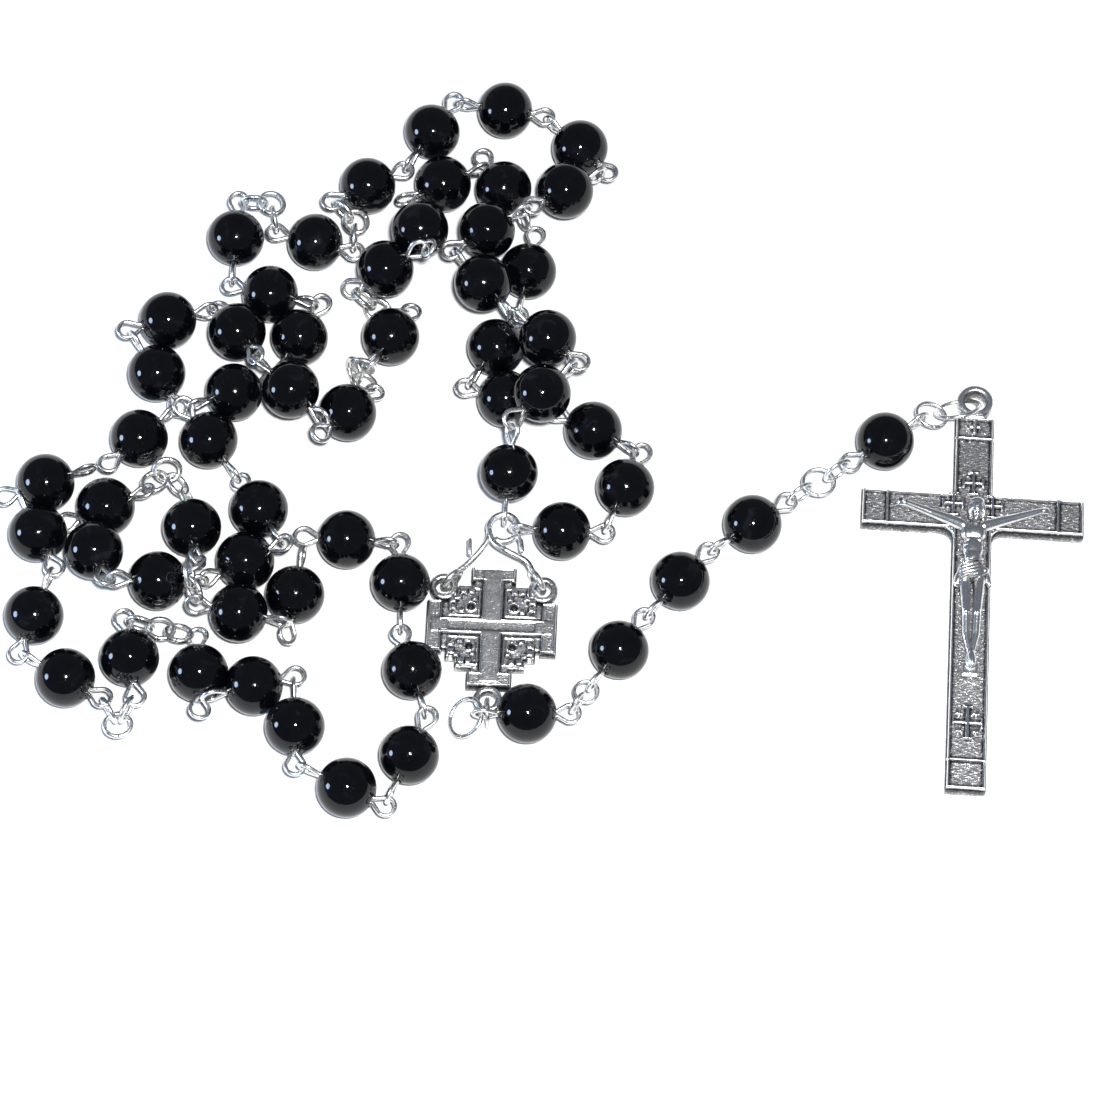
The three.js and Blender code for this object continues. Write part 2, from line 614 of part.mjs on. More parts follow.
function addPendant() {
  const level = (along) => along.clone().cross(UP);

  // The small ring in the medal's foot, and the loose jump ring beside it.
  const foot = onMedal(MEDAL_TABS[2]);
  const footRing = new THREE.Vector3(foot.x, foot.y - FOOT_RING_R, FOOT_RING_Z);
  const down = new THREE.Vector3(0, -1, 0);
  const sideways = new THREE.Vector3(1, 0, 0);
  addNode(
    "medal_foot_ring",
    ringAt(footRing, down, sideways, FOOT_RING_R, CHAIN_WIRE_R),
    silverWire,
    frameAt(footRing, down),
  );
  const tilt = sideways.clone().applyAxisAngle(down, JUMP_TILT);
  const jump = PENDANT_EYE.clone().add(JUMP_IN_EYE).addScaledVector(tilt, -JUMP_R);
  const jumpAxis = down.clone().cross(tilt);
  const jumpRing = ringAt(jump, tilt, jumpAxis, JUMP_R, JUMP_WIRE_R);
  addNode("loose_jump_ring", jumpRing, silverWire, frameAt(jump, tilt));

  // The first bead, two small rings, three beads, a chain of three links, and the last bead.
  const walk = { at: PENDANT_EYE.clone(), radius: 0, wire: 0 };
  const [first, second, third, fourth, chainWay, last, away] = PENDANT_DIRECTIONS.map(turned);
  addPin(walk, "pendant_single_1", first, level(first), UP, SINGLE_EYE_R);
  addRing(walk, "pendant_ring_1", second, level(second), SMALL_RING_R);
  addRing(walk, "pendant_ring_2", second, UP, SMALL_RING_R);
  addPin(walk, "pendant_three_1", second, level(second), UP);
  addPin(walk, "pendant_three_2", third, level(third), UP);
  addPin(walk, "pendant_three_3", fourth, level(fourth), UP);
  addRing(walk, "pendant_chain_link_1", chainWay, level(chainWay), LINK_R);
  addRing(walk, "pendant_chain_link_2", chainWay, UP, LINK_R);
  addRing(walk, "pendant_chain_link_3", chainWay, level(chainWay), LINK_R);
  addPin(walk, "pendant_single_2", last, UP, level(last));

  // A ring that dips towards the table, and the large ring through the crucifix's bail, leaning over.
  const dipping = last.clone().applyAxisAngle(level(last), -RING_DIP);
  addRing(walk, "crucifix_chain_ring", dipping, UP, LINK_R);
  const leaning = level(away).applyAxisAngle(away, BAIL_LEAN);
  walk.at.z = BAIL_RING_Z;
  addRing(walk, "crucifix_ring", away, leaning, CRUCIFIX_RING_R, JUMP_WIRE_R);

  // The bail's hole is where the leaning ring comes down to the middle of the bail.
  const drop = BAIL_RING_Z - (CROSS_T - BAIL_T / 2);
  const alongRing = drop / Math.cos(BAIL_LEAN);
  walk.at.addScaledVector(away, Math.sqrt(CRUCIFIX_RING_R ** 2 - alongRing ** 2));
  return walk.at.addScaledVector(level(away), -drop * Math.tan(BAIL_LEAN)).setZ(0);
}

// ---------------------------------------------------------------- the crucifix

// The cross's outline, its bail hole at the origin and its foot towards -Y, with a small curve
// under each arm where it meets the upright.
function crossShape() {
  const half = CROSS_W / 2;
  const armTop = -CROSS_ARM_Y + half;
  const armFoot = -CROSS_ARM_Y - half;
  const shape = new THREE.Shape();
  shape.moveTo(-half, -CROSS_FOOT);
  shape.lineTo(half, -CROSS_FOOT);
  shape.lineTo(half, armFoot - CROSS_FILLET);
  shape.quadraticCurveTo(half, armFoot, half + CROSS_FILLET, armFoot);
  shape.lineTo(CROSS_ARM_HALF, armFoot);
  shape.lineTo(CROSS_ARM_HALF, armTop);
  shape.lineTo(half, armTop);
  shape.lineTo(half, -CROSS_TOP);
  shape.lineTo(-half, -CROSS_TOP);
  shape.lineTo(-half, armTop);
  shape.lineTo(-CROSS_ARM_HALF, armTop);
  shape.lineTo(-CROSS_ARM_HALF, armFoot);
  shape.lineTo(-half - CROSS_FILLET, armFoot);
  shape.quadraticCurveTo(-half, armFoot, -half, armFoot - CROSS_FILLET);
  return shape;
}

function crossSolid(frame) {
  const body = solidOf(extruded(crossShape(), CROSS_T), moved(0, 0, CROSS_T / 2));
  const bail = circle(0, 0, BAIL_R, THREE.Shape);
  bail.holes.push(circle(0, 0, BAIL_HOLE_R));
  const bailZ = CROSS_T - BAIL_T / 2;
  const neck = rectangle(-BAIL_NECK, -CROSS_TOP - 0.5, BAIL_NECK, -BAIL_HOLE_R - 0.3);
  const parts = [
    body,
    solidOf(extruded(bail, BAIL_T, 12), moved(0, 0, bailZ)),
    solidOf(extruded(neck, BAIL_T), moved(0, 0, bailZ)),
  ];
  return joined(parts).transform(frame.elements);
}

// The figure as one plain closed body: head, trunk, arms, legs and the block under the feet.
function corpusSolid(frame) {
  const base = CROSS_T + FIGURE_GAP;
  const ball = (x, y, z, rx, ry, rz) => {
    const round = new THREE.SphereGeometry(1, 8, 6);
    round.scale(rx, ry, rz);
    return solidOf(round.translate(x, y, z));
  };
  const limb = (points, radius) => {
    const parts = [];
    for (let i = 0; i + 1 < points.length; i++) parts.push(rodAt(points[i], points[i + 1], radius));
    return joined(parts);
  };
  const at = (x, y, z) => new THREE.Vector3(x, y, base + z);
  const handY = -CROSS_ARM_Y + 0.2;
  const shoulderY = -CROSS_ARM_Y - 2.4;
  const kneeY = shoulderY - 12.3;
  const parts = [
    ball(0.15, -CROSS_ARM_Y - 0.1, base + 1.25, 1.1, 1.45, 1.15),
    ball(0, shoulderY - 1.9, base + 0.95, 1.6, 3, 0.95),
    ball(0, shoulderY - 6, base + 0.95, 1.75, 1.8, 0.95),
    limb([at(-0.7, shoulderY - 7, 0.9), at(-0.5, kneeY, 0.85), at(-0.3, FIGURE_FEET_Y, 0.7)], 0.65),
    limb([at(0.8, shoulderY - 7, 0.95), at(0.6, kneeY, 1), at(0.3, FIGURE_FEET_Y, 0.7)], 0.65),
    ball(0, FIGURE_FEET_Y, base + 0.85, 0.95, 1.3, 0.85),
  ];
  for (const side of [-1, 1]) {
    const hand = at(side * FIGURE_REACH, handY, 0.55);
    parts.push(limb([at(side * 0.9, shoulderY, 0.95), at(side * 4.9, shoulderY + 1.3, 0.6), hand], 0.52));
  }
  return joined(parts).transform(frame.elements);
}

// ---------------------------------------------------------------- assembly

const strand = settle(layStrand());
addLoop(strand);
addNode("medal_hanger", hangerSolid(), silverWire, moved(HANGER.x, HANGER.y, HANGER.z));
addNode("centre_medal", medalSolid(), antiqueSilver, medalFrame);
const bailHole = addPendant();
const crossFrame = new THREE.Matrix4().makeRotationZ(CROSS_TURN).setPosition(bailHole);
addNode("crucifix_cross", crossSolid(crossFrame), antiqueSilver, crossFrame);
addNode("crucifix_figure", corpusSolid(crossFrame), antiqueSilver, crossFrame);

// The origin is under the middle of the outline, on the table.
const outline = new THREE.Box3().setFromObject(rosary, true);
const origin = outline.getCenter(new THREE.Vector3()).setZ(outline.min.z);
for (const mesh of rosary.children) mesh.position.sub(origin);

export default rosary;
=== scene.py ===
"""Looks of the rosary: polished black beads on bright wire links, a relief medal and a crucifix."""

import json
import math

import bpy
import numpy as np
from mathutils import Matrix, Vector

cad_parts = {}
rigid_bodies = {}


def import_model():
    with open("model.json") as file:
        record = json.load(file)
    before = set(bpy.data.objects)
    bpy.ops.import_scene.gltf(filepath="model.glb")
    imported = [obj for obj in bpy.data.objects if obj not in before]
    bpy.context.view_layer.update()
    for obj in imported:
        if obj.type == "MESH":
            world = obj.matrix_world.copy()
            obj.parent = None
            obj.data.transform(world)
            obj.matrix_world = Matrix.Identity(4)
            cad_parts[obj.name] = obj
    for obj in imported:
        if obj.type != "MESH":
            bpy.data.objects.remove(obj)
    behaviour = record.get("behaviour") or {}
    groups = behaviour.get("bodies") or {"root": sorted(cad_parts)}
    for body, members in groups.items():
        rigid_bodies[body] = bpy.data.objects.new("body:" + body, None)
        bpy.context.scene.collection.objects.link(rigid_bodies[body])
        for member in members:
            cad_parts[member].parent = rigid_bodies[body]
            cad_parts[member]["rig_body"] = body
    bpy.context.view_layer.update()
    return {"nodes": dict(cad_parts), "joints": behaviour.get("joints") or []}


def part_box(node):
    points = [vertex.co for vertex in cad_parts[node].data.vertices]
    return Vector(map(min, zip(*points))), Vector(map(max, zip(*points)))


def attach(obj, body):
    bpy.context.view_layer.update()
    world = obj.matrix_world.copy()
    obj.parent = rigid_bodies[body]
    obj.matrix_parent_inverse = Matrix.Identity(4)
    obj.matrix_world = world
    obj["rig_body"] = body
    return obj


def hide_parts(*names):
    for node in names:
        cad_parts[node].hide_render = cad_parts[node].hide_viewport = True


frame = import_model()

MM = 0.001

# ---- sizes that the CAD model has too, in millimetres and in each casting's own x and y
BEAD_R = 3.5
EYE_OFFSET = 4.93  # from a bead's centre to the centre of its eye
EYE_R = 1.25
EYE_WIRE_R = 0.28
CHAIN_R = 1.55
CHAIN_WIRE_R = 0.3
HALF_CHAIN = 4.12  # from an eye to the middle ring of a chain of three
EYE_TO_CHAIN = 1.92
CHAIN_TO_CHAIN = 2.2
HOOK_WIRE_R = 0.4
HOOK_RING_R = 1.75  # the hanger's central ring
HOOK_EYE_R = 1.35  # the two rings that hold the medal
MEDAL_TOP_TAB = (5.9, 5.1)
MEDAL_FOOT_TAB = 9.2
MEDAL_THICK = 1.6
MEDAL_ARM = 7.7  # centre to the end of an arm
MEDAL_ARM_HALF = 1.5
MEDAL_BAR_DEPTH = 1.9
MEDAL_STEP = 5.3  # half the square of the four small crosses
MEDAL_PIT = 2.55  # centre of each pit, along both axes
CROSS_W = 4.7
CROSS_T = 2.2
CROSS_TOP = 2.2  # bail hole to the top of the upright
CROSS_ARM_Y = 14.9  # bail hole to the middle of the arms
CROSS_FOOT = 50.6  # bail hole to the foot
CROSS_ARM_HALF = 13.3
CROSS_FILLET = 1.4
BAIL_HOLE_R = 1.34
FIGURE_GAP = 0.3
FIGURE_FEET_Y = -36.0

# ---- sizes of what is only in the looks, in millimetres
BORE_R = 0.5
LOOP_R = 1.1  # the round end of an eye
LOOP_OFFSET = 5.08
LEG_START = 2.6  # where the wire of an eye begins, inside the bead
LEG_SPREAD = 0.27
LOOP_TURN = math.radians(122)  # half of the round end's sweep
BEAD_SIDES = 40
WIRE_SIDES = 12
HOOK_WIRE_SIDES = 14
RELIEF_STEP = 0.075
MEDAL_FIELD_DEPTH = 0.45  # how far the medal's ground lies below its top
MEDAL_BAR_WIDTHS = (2.65, 3.3)  # half the bars' width at the top and foot, and at the sides
MEDAL_BOSSES = (  # centre and half width of each square boss, from the middle of a small cross
    (0.15, 1.35, 0.42), (0.95, 1.3, 0.3), (1.4, 0.15, 0.42),
    (1.35, 0.95, 0.3), (0.75, 0.55, 0.36), (-0.75, 1.35, 0.36),
    (1.35, -0.8, 0.36), (0.3, -1.2, 0.3), (-1.2, 0.4, 0.3),
)
CROSS_FIELD_DEPTH = 0.42
CROSS_RIM = 0.34
CROSS_PANEL_LINES = (-5.1, -46.9)  # heights of the raised lines across the upright
CROSS_ARM_LINE = 10.2  # middle of the cross to the raised line near each arm's end
CROSSES_BEHIND_HEAD = ((0.0, -11.2), (-2.35, -14.0), (2.35, -14.1))
EMBLEM_Y = -42.2
BAIL_R = 2.1
NECK_HALF = 1.25
SKIN_STEP = 0.085  # size of the cells that the figure's skin is made of

# ---- the camera and the lights, in millimetres, degrees and watts
CAMERA_TARGET = Vector((0.605, -15.288, 3.5155))
CAMERA_ELEVATION = 65
CAMERA_DISTANCE = 450
CAMERA_LENS = 124.2
CAMERA_SENSOR = 36
FLASH_FROM_CAMERA = Vector((25, 15, 32))
FLASH_SIZE = 30
FLASH_POWER = 3.1
FLASH_COLOUR = (1.0, 0.99, 0.97)
WINDOW_AT = Vector((-420, -60, 130))
WINDOW_SIZE = 120
WINDOW_POWER = 0.9
WINDOW_COLOUR = (0.55, 0.72, 1.0)
ROOM_COLOUR = (0.55, 0.62, 0.75, 1)
ROOM_STRENGTH = 0.24
FLOOR_HALF = 900
FLOOR_DROP = 0.00002


# ---------------------------------------------------------------- finding the pieces

def vertex_rows(mesh, key):
    """The places or normals of a mesh's vertices, a row for each."""
    rows = np.zeros(len(mesh.vertices) * 3, np.float32)
    mesh.vertices.foreach_get(key, rows)
    return rows.reshape(-1, 3)


def points_of(node):
    """The separate vertices of a CAD node, in millimetres."""
    rows = vertex_rows(frame["nodes"][node].data, "co")
    return np.unique(np.round(rows.astype(float) / MM, 3), axis=0)


def unit(v):
    return v / np.linalg.norm(v)


def main_axis(points, largest=True):
    """The direction in which the points spread most, or least."""
    directions = np.linalg.eigh(np.cov((points - points.mean(0)).T))[1]
    return directions[:, -1 if largest else 0]


def bead_centre(points):
    """Centre of the bead among these points, from the start that puts most of them on its surface."""
    best = None
    start = points.mean(0)
    axis = main_axis(points)
    for shift in (0, 0.8, -0.8, 1.8, -1.8):
        centre = start + shift * axis
        for tolerance in (2.0, 1.2, 0.6, 0.3, 0.1, 0.05, 0.02, 0.02):
            away = points - centre
            reach = np.linalg.norm(away, axis=1)
            near = np.abs(reach - BEAD_R) < tolerance
            if near.sum() < 6:
                break
            centre = (points[near] - BEAD_R * away[near] / reach[near][:, None]).mean(0)
        on = (np.abs(np.linalg.norm(points - centre, axis=1) - BEAD_R) < 0.01).sum()
        if best is None or on > best[0]:
            best = (on, centre)
    return best[1]


def out_of_bead(points, centre, other=None):
    """Direction from a bead's centre to its eye, or to the eye away from the other bead."""
    reach = np.linalg.norm(points - centre, axis=1)
    wire = points[(reach > BEAD_R + 0.2) & (reach < EYE_OFFSET + EYE_R + EYE_WIRE_R + 0.05)]
    if other is None:
        away = wire - centre
        along = np.linalg.eigh(away.T @ away)[1][:, -1]
    else:
        own = wire[np.linalg.norm(wire - other, axis=1) > 6.5]  # leaves out the eyes between the two
        along = unit(own.mean(0) - centre)
    for _ in range(3):
        from_eye = np.linalg.norm(points - centre - EYE_OFFSET * along, axis=1)
        ring = points[np.abs(from_eye - EYE_R) < EYE_WIRE_R + 0.03]
        along = unit(ring.mean(0) - centre)
    return along


def ring_axis(points, centre, along, radius, wire):
    """The axis of the ring at this centre: the direction that most points agree with."""
    near = points[np.linalg.norm(points - centre, axis=1) < radius + wire + 0.1] - centre
    first = unit(np.cross(along, [0.3, 0.1, 1.0]))
    second = np.cross(along, first)
    best = (-1, first)
    for degrees in range(0, 180, 2):
        angle = math.radians(degrees)
        axis = math.cos(angle) * first + math.sin(angle) * second
        height = near @ axis
        radial = np.linalg.norm(near - height[:, None] * axis, axis=1)
        off = np.abs(np.hypot(radial - radius, height) - wire)
        count = int((off < 0.03).sum())
        if count > best[0]:
            best = (count, axis)
    return best[1]


# ---------------------------------------------------------------- meshes

def piece_from(name, vertices, faces):
    mesh = bpy.data.meshes.new(name)
    mesh.from_pydata((np.asarray(vertices) * MM).tolist(), [], faces)
    mesh.validate()
    mesh.polygons.foreach_set("use_smooth", [True] * len(mesh.polygons))
    piece = bpy.data.objects.new(name, mesh)
    bpy.context.scene.collection.objects.link(piece)
    return piece


class Pile:
    """Vertices and faces of one piece while it is put together."""

    def __init__(self):
        self.vertices = []
        self.faces = []

    def add(self, vertices, faces):
        start = len(self.vertices)
        self.vertices.extend(np.asarray(vertices).tolist())
        self.faces.extend([[start + i for i in face] for face in faces])


def frame_of(along, across):
    """Three square directions, as the rows of a matrix: along, sideways, across."""
    along = unit(np.asarray(along, float))
    across = unit(across - along * (across @ along))
    return np.array([along, np.cross(across, along), across])


def add_tube(pile, route, radius, sides=WIRE_SIDES):
    """A wire along a route, with rounded ends."""
    route = np.asarray(route, float)
    ways = np.gradient(route, axis=0)
    ways = ways / np.linalg.norm(ways, axis=1)[:, None]
    normal = unit(np.cross(ways[0], [0.31, 0.27, 0.91]))
    rings = []
    for spot, way in zip(route, ways):
        normal = unit(normal - way * (normal @ way))
        rings.append((spot, normal, np.cross(way, normal), radius))
    for end, way in ((0, -ways[0]), (-1, ways[-1])):
        centre, first, second, _ = rings[end]
        caps = [
            (centre + way * radius * math.sin(a) * 0.8, first, second, radius * math.cos(a))
            for a in (0.5, 1.0, 1.35)
        ]
        rings = caps[::-1] + rings if end == 0 else rings + caps
    angles = np.linspace(0, 2 * math.pi, sides, endpoint=False)
    vertices = [
        centre + size * (math.cos(a) * first + math.sin(a) * second)
        for centre, first, second, size in rings
        for a in angles
    ]
    faces = []
    last = len(rings) - 1
    for i in range(last):
        for k in range(sides):
            after = (k + 1) % sides
            faces.append([i * sides + k, i * sides + after, (i + 1) * sides + after, (i + 1) * sides + k])
    faces.append(list(range(sides))[::-1])
    faces.append([last * sides + k for k in range(sides)])
    pile.add(vertices, faces)


def add_bead(pile, centre, along, seed):
    """A polished bead: a ball, slightly long or short, with rounded mouths to its bore."""
    random = np.random.default_rng(seed)
    length = BEAD_R * (1 - 0.03 * random.random())
    barrel = 0.04 * random.random()
    across = unit(np.cross(along, [0.2, 0.5, 0.84]))
    way, side, up = frame_of(along, across)
    mouth = math.asin((BORE_R + 0.28) / BEAD_R)
    profile = []
    for angle in np.linspace(mouth, math.pi - mouth, 27):
        flat = 1 + barrel * (math.sin(angle) ** 0.8 - 1) * 0.5
        profile.append((length * math.cos(angle), BEAD_R * math.sin(angle) * min(1, flat + 0.01)))
    edge = profile[0][0]
    lip = [(edge - 0.3, BORE_R), (edge - 0.08, BORE_R + 0.03), (edge, BORE_R + 0.13)]
    profile = [(0.0, BORE_R)] + lip + profile + [(-x, r) for x, r in lip[::-1]]
    vertices = [
        centre + x * way + r * (math.cos(a) * side + math.sin(a) * up)
        for x, r in profile
        for a in np.linspace(0, 2 * math.pi, BEAD_SIDES, endpoint=False)
    ]
    faces = []
    for i in range(len(profile)):
        this, following = i * BEAD_SIDES, (i + 1) % len(profile) * BEAD_SIDES
        for k in range(BEAD_SIDES):
            after = (k + 1) % BEAD_SIDES
            faces.append([this + k, following + k, following + after, this + after])
    pile.add(vertices, faces)


def add_eye(pile, centre, along, across, offset=LOOP_OFFSET):
    """A teardrop loop of wire: two legs out of the bead's bore, spreading to a round end."""
    way, side, _ = frame_of(along, across)
    legs = [(LEG_START, LEG_SPREAD), (3.2, LEG_SPREAD), (BEAD_R, LEG_SPREAD + 0.04)]
    route = [(x, -y) for x, y in legs]
    for angle in np.linspace(LOOP_TURN, -LOOP_TURN, 25):
        route.append((offset + LOOP_R * math.cos(angle), -LOOP_R * math.sin(angle)))
    route += legs[::-1]
    add_tube(pile, [centre + x * way + y * side for x, y in route], EYE_WIRE_R - 0.01)


def add_link(pile, centre, along, across, radius, wire, squeeze=0.9, slit=0.1):
    """A link: a ring, narrower across by the squeeze, whose two ends nearly meet at one side."""
    way, side, _ = frame_of(along, across)
    gap = slit / radius
    angles = np.linspace(math.pi / 2 + gap, 2.5 * math.pi - gap, 37)
    route = [
        centre + radius * (math.cos(a) * way + squeeze * math.sin(a) * side)
        for a in angles
    ]
    add_tube(pile, route, wire)


# ---------------------------------------------------------------- materials

class Nodes:
    """Short calls for the nodes of one material."""

    def __init__(self, name):
        self.material = bpy.data.materials.new(name)
        self.material.use_nodes = True
        self.tree = self.material.node_tree
        self.shader = self.tree.nodes["Principled BSDF"]

    def node(self, kind, values=None, links=None):
        made = self.tree.nodes.new(kind)
        for key, value in (values or {}).items():
            if key in made.inputs:
                made.inputs[key].default_value = value
            else:
                setattr(made, key, value)
        for key, source in (links or {}).items():
            self.tree.links.new(source, made.inputs[key])
        return made

    def noise(self, scale, detail=3.0, rough=0.5, distortion=0.0):
        where = self.node("ShaderNodeTexCoord").outputs["Object"]
        values = {"Scale": scale, "Detail": detail, "Roughness": rough, "Distortion": distortion}
        return self.node("ShaderNodeTexNoise", values, {"Vector": where}).outputs["Fac"]

    def ramp(self, source, stops):
        made = self.node("ShaderNodeValToRGB", links={"Fac": source})
        elements = made.color_ramp.elements
        while len(elements) < len(stops):
            elements.new(0.5)
        for element, (place, colour) in zip(elements, stops):
            element.position = place
            element.color = (*colour, 1)
        return made.outputs["Color"]

    def maths(self, operation, first, second):
        made = self.node("ShaderNodeMath", {"operation": operation})
        for socket, value in zip(made.inputs, (first, second)):
            if isinstance(value, (int, float)):
                socket.default_value = value
            else:
                self.tree.links.new(value, socket)
        return made.outputs[0]

    def spread(self, source, low, high, out_low, out_high):
        values = {"From Min": low, "From Max": high, "To Min": out_low, "To Max": out_high}
        return self.node("ShaderNodeMapRange", values, {"Value": source}).outputs[0]

    def set(self, **sockets):
        for name, value in sockets.items():
            self.shader.inputs[name.replace("_", " ")].default_value = value

    def drive(self, socket, source):
        self.tree.links.new(source, self.shader.inputs[socket])

    def bump(self, height, distance, strength):
        values = {"Strength": strength, "Distance": distance}
        made = self.node("ShaderNodeBump", values, {"Height": height})
        self.drive("Normal", made.outputs["Normal"])


def black_glass():
    """Black bead glass: nearly clear polish, faint grey clouds, a few dust specks."""
    m = Nodes("black_glass")
    clouds = m.noise(420, 4, 0.6, 0.6)
    specks = m.noise(5200, 1)
    tone = [(0.3, (0.0008, 0.0009, 0.0015)), (0.6, (0.0018, 0.002, 0.0032)), (0.8, (0.012, 0.013, 0.018))]
    m.drive("Base Color", m.ramp(clouds, tone))
    dust = m.spread(specks, 0.66, 0.74, 0.0, 0.22)
    smudge = m.spread(m.noise(900, 3), 0.35, 0.75, 0.035, 0.11)
    m.drive("Roughness", m.maths("ADD", smudge, dust))
    m.set(IOR=1.45, Specular_IOR_Level=0.42)
    m.bump(m.noise(700, 2), 0.00003, 0.35)
    return m.material


def silver_wire():
    """Bright drawn wire with fine marks and slightly darker patches."""
    m = Nodes("silver_wire")
    patches = m.noise(1400, 4, 0.6)
    tone = [(0.25, (0.66, 0.66, 0.66)), (0.5, (0.93, 0.93, 0.92)), (0.8, (0.98, 0.98, 0.98))]
    m.drive("Base Color", m.ramp(patches, tone))
    m.drive("Roughness", m.spread(m.noise(2600, 3), 0.3, 0.75, 0.2, 0.42))
    m.set(Metallic=1.0)
    m.bump(m.noise(3800, 3), 0.00003, 0.5)
    return m.material


def antique_silver():
    """Cast silver-coloured metal, stippled, with light painted into its colour: a painted highlight where
    the mask is high, painted shade where it is low, and painted glints from fine noise.
    """
    m = Nodes("antique_silver")
    # Painted light: a mask that is high on raised and upward-facing points (painted highlight) and low in
    # hollows (painted shade).
    high = m.node("ShaderNodeAttribute", {"attribute_name": "painted_light"}).outputs["Fac"]
    blotch = m.spread(m.noise(900, 5, 0.65), 0.3, 0.72, -0.1, 0.12)
    # Painted glints: fine noise that brightens small spots of the colour, a painted highlight.
    painted_glints = m.spread(m.noise(4200, 2, 0.5), 0.5, 0.7, 0.0, 0.34)
    level = m.maths("ADD", m.maths("ADD", high, blotch), painted_glints)
    # The colour runs from near black, painted shade, to near white, painted highlight.
    tone = [
        (0.0, (0.015, 0.015, 0.018)),
        (0.32, (0.09, 0.09, 0.095)),
        (0.55, (0.36, 0.355, 0.36)),
        (0.75, (0.78, 0.78, 0.78)),
        (1.0, (0.95, 0.95, 0.95)),
    ]
    m.drive("Base Color", m.ramp(level, tone))
    m.drive("Roughness", m.spread(level, 0.15, 0.95, 0.55, 0.2))
    m.set(Metallic=1.0)
    grain = m.noise(7000, 2, 0.6)
    rough_share = m.spread(high, 0.35, 0.85, 1.0, 0.18)
    m.bump(m.maths("MULTIPLY", grain, rough_share), 0.00009, 0.9)
    return m.material


# The record's slot names. Blender may call the materials something else.
GLASS, WIRE, CAST = "black_glass", "silver_wire", "antique_silver"
MATERIALS = {GLASS: black_glass(), WIRE: silver_wire(), CAST: antique_silver()}


body_of = {node: frame["nodes"][node]["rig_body"] for node in frame["nodes"]}


def settle(piece, node, slot):
    """Gives a piece its material and puts it on its node's body in place of that node."""
    piece.data.materials.append(MATERIALS[slot])
    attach(piece, body_of[node])
    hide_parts(node)


def finish_piece(pile, name, node, slot):
    settle(piece_from(name, pile.vertices, pile.faces), node, slot)


# ---------------------------------------------------------------- beads and their wire

eyes = {}  # the eye centres of each node's beads


def add_bead_link(glass, wire, points, centre, along, seed):
    """A bead with an eye at each end. Gives the centres of the two eyes."""
    add_bead(glass, centre, along, seed)
    ends = []
    for way in (along, -along):
        eye = centre + EYE_OFFSET * way
        add_eye(wire, centre, way, ring_axis(points, eye, way, EYE_R, EYE_WIRE_R))
        ends.append(eye)
    return ends


def beads_in(points, paired):
    """Centre and bore direction of each bead of a node."""
    if not paired:
        centre = bead_centre(points)
        return [(centre, out_of_bead(points, centre))]
    side = (points - points.mean(0)) @ main_axis(points)
    first, second = bead_centre(points[side > 0]), bead_centre(points[side < 0])
    return [
        (first, out_of_bead(points, first, second)),
        (second, out_of_bead(points, second, first)),
    ]


def bead_nodes():
    pairs = sorted(n for n in frame["nodes"] if n.startswith("decade_"))
    singles = sorted(n for n in frame["nodes"] if n.startswith("single_bead_"))
    for number, node in enumerate(pairs + singles):
        points = points_of(node)
        glass, wire = Pile(), Pile()
        eyes[node] = []
        for side, (centre, along) in enumerate(beads_in(points, node in pairs)):
            eyes[node] += add_bead_link(glass, wire, points, centre, along, 10 * number + side)
        finish_piece(glass, node + "_glass", node, GLASS)
        finish_piece(wire, node + "_wire", node, WIRE)


bead_nodes()


# ---------------------------------------------------------------- chains in the loop

def chain_centres(first, middle, last):
    """Centres of three links between two eyes, when the middle one is here."""
    return [
        first + EYE_TO_CHAIN * unit(middle - first),
        middle,
        middle + CHAIN_TO_CHAIN * unit(last - middle),
    ]


def fit_chain(points, first, last):
    """How badly the best chain between two eyes misses these points, and its ring centres."""
    halfway = (first + last) / 2
    apart = np.linalg.norm(last - first)
    if apart > 2 * HALF_CHAIN + 1:
        return 99.0, None
    way = (last - first) / apart
    reach = math.sqrt(max(HALF_CHAIN**2 - apart**2 / 4, 0))
    side = unit(np.cross(way, [0.2, 0.3, 0.93]))
    up = np.cross(way, side)
    best = (99.0, None)
    for degrees in range(0, 360, 3):
        angle = math.radians(degrees)
        middle = halfway + reach * (math.cos(angle) * side + math.sin(angle) * up)
        centres = chain_centres(first, middle, last)
        gaps = [np.abs(np.linalg.norm(points - c, axis=1) - CHAIN_R) for c in centres]
        miss = np.clip(np.min(gaps, axis=0) - CHAIN_WIRE_R, 0, None).mean()
        if miss < best[0]:
            best = (miss, centres)
    return best


def add_chain(node, before, after):
    """Three links between an eye of one node and an eye of the other."""
    points = points_of(node)
    fits = []
    for first in eyes[before]:
        for last in eyes[after]:
            fits.append((*fit_chain(points, first, last), first, last))
    _, centres, first, last = min(fits, key=lambda fit: fit[0])
    ways = [unit(centres[0] - first), unit(last - first), unit(last - centres[2])]
    wire = Pile()
    for centre, along in zip(centres, ways):
        axis = ring_axis(points, centre, along, CHAIN_R, CHAIN_WIRE_R)
        add_link(wire, centre, along, axis, CHAIN_R, CHAIN_WIRE_R)
    finish_piece(wire, node + "_links", node, WIRE)


LOOP_ENDS = {  # the bead pairs on both sides of each single bead
    1: ("decade_1_beads_9_10", "decade_2_beads_1_2"),
    2: ("decade_2_beads_9_10", "decade_3_beads_1_2"),
    3: ("decade_3_beads_9_10", "decade_4_beads_1_2"),
    4: ("decade_4_beads_9_10", "decade_5_beads_1_2"),
}
for number, (before, after) in LOOP_ENDS.items():
    add_chain(f"chain_before_single_{number}", before, f"single_bead_{number}")
    add_chain(f"chain_after_single_{number}", f"single_bead_{number}", after)


# ---------------------------------------------------------------- medal, hanger and rings

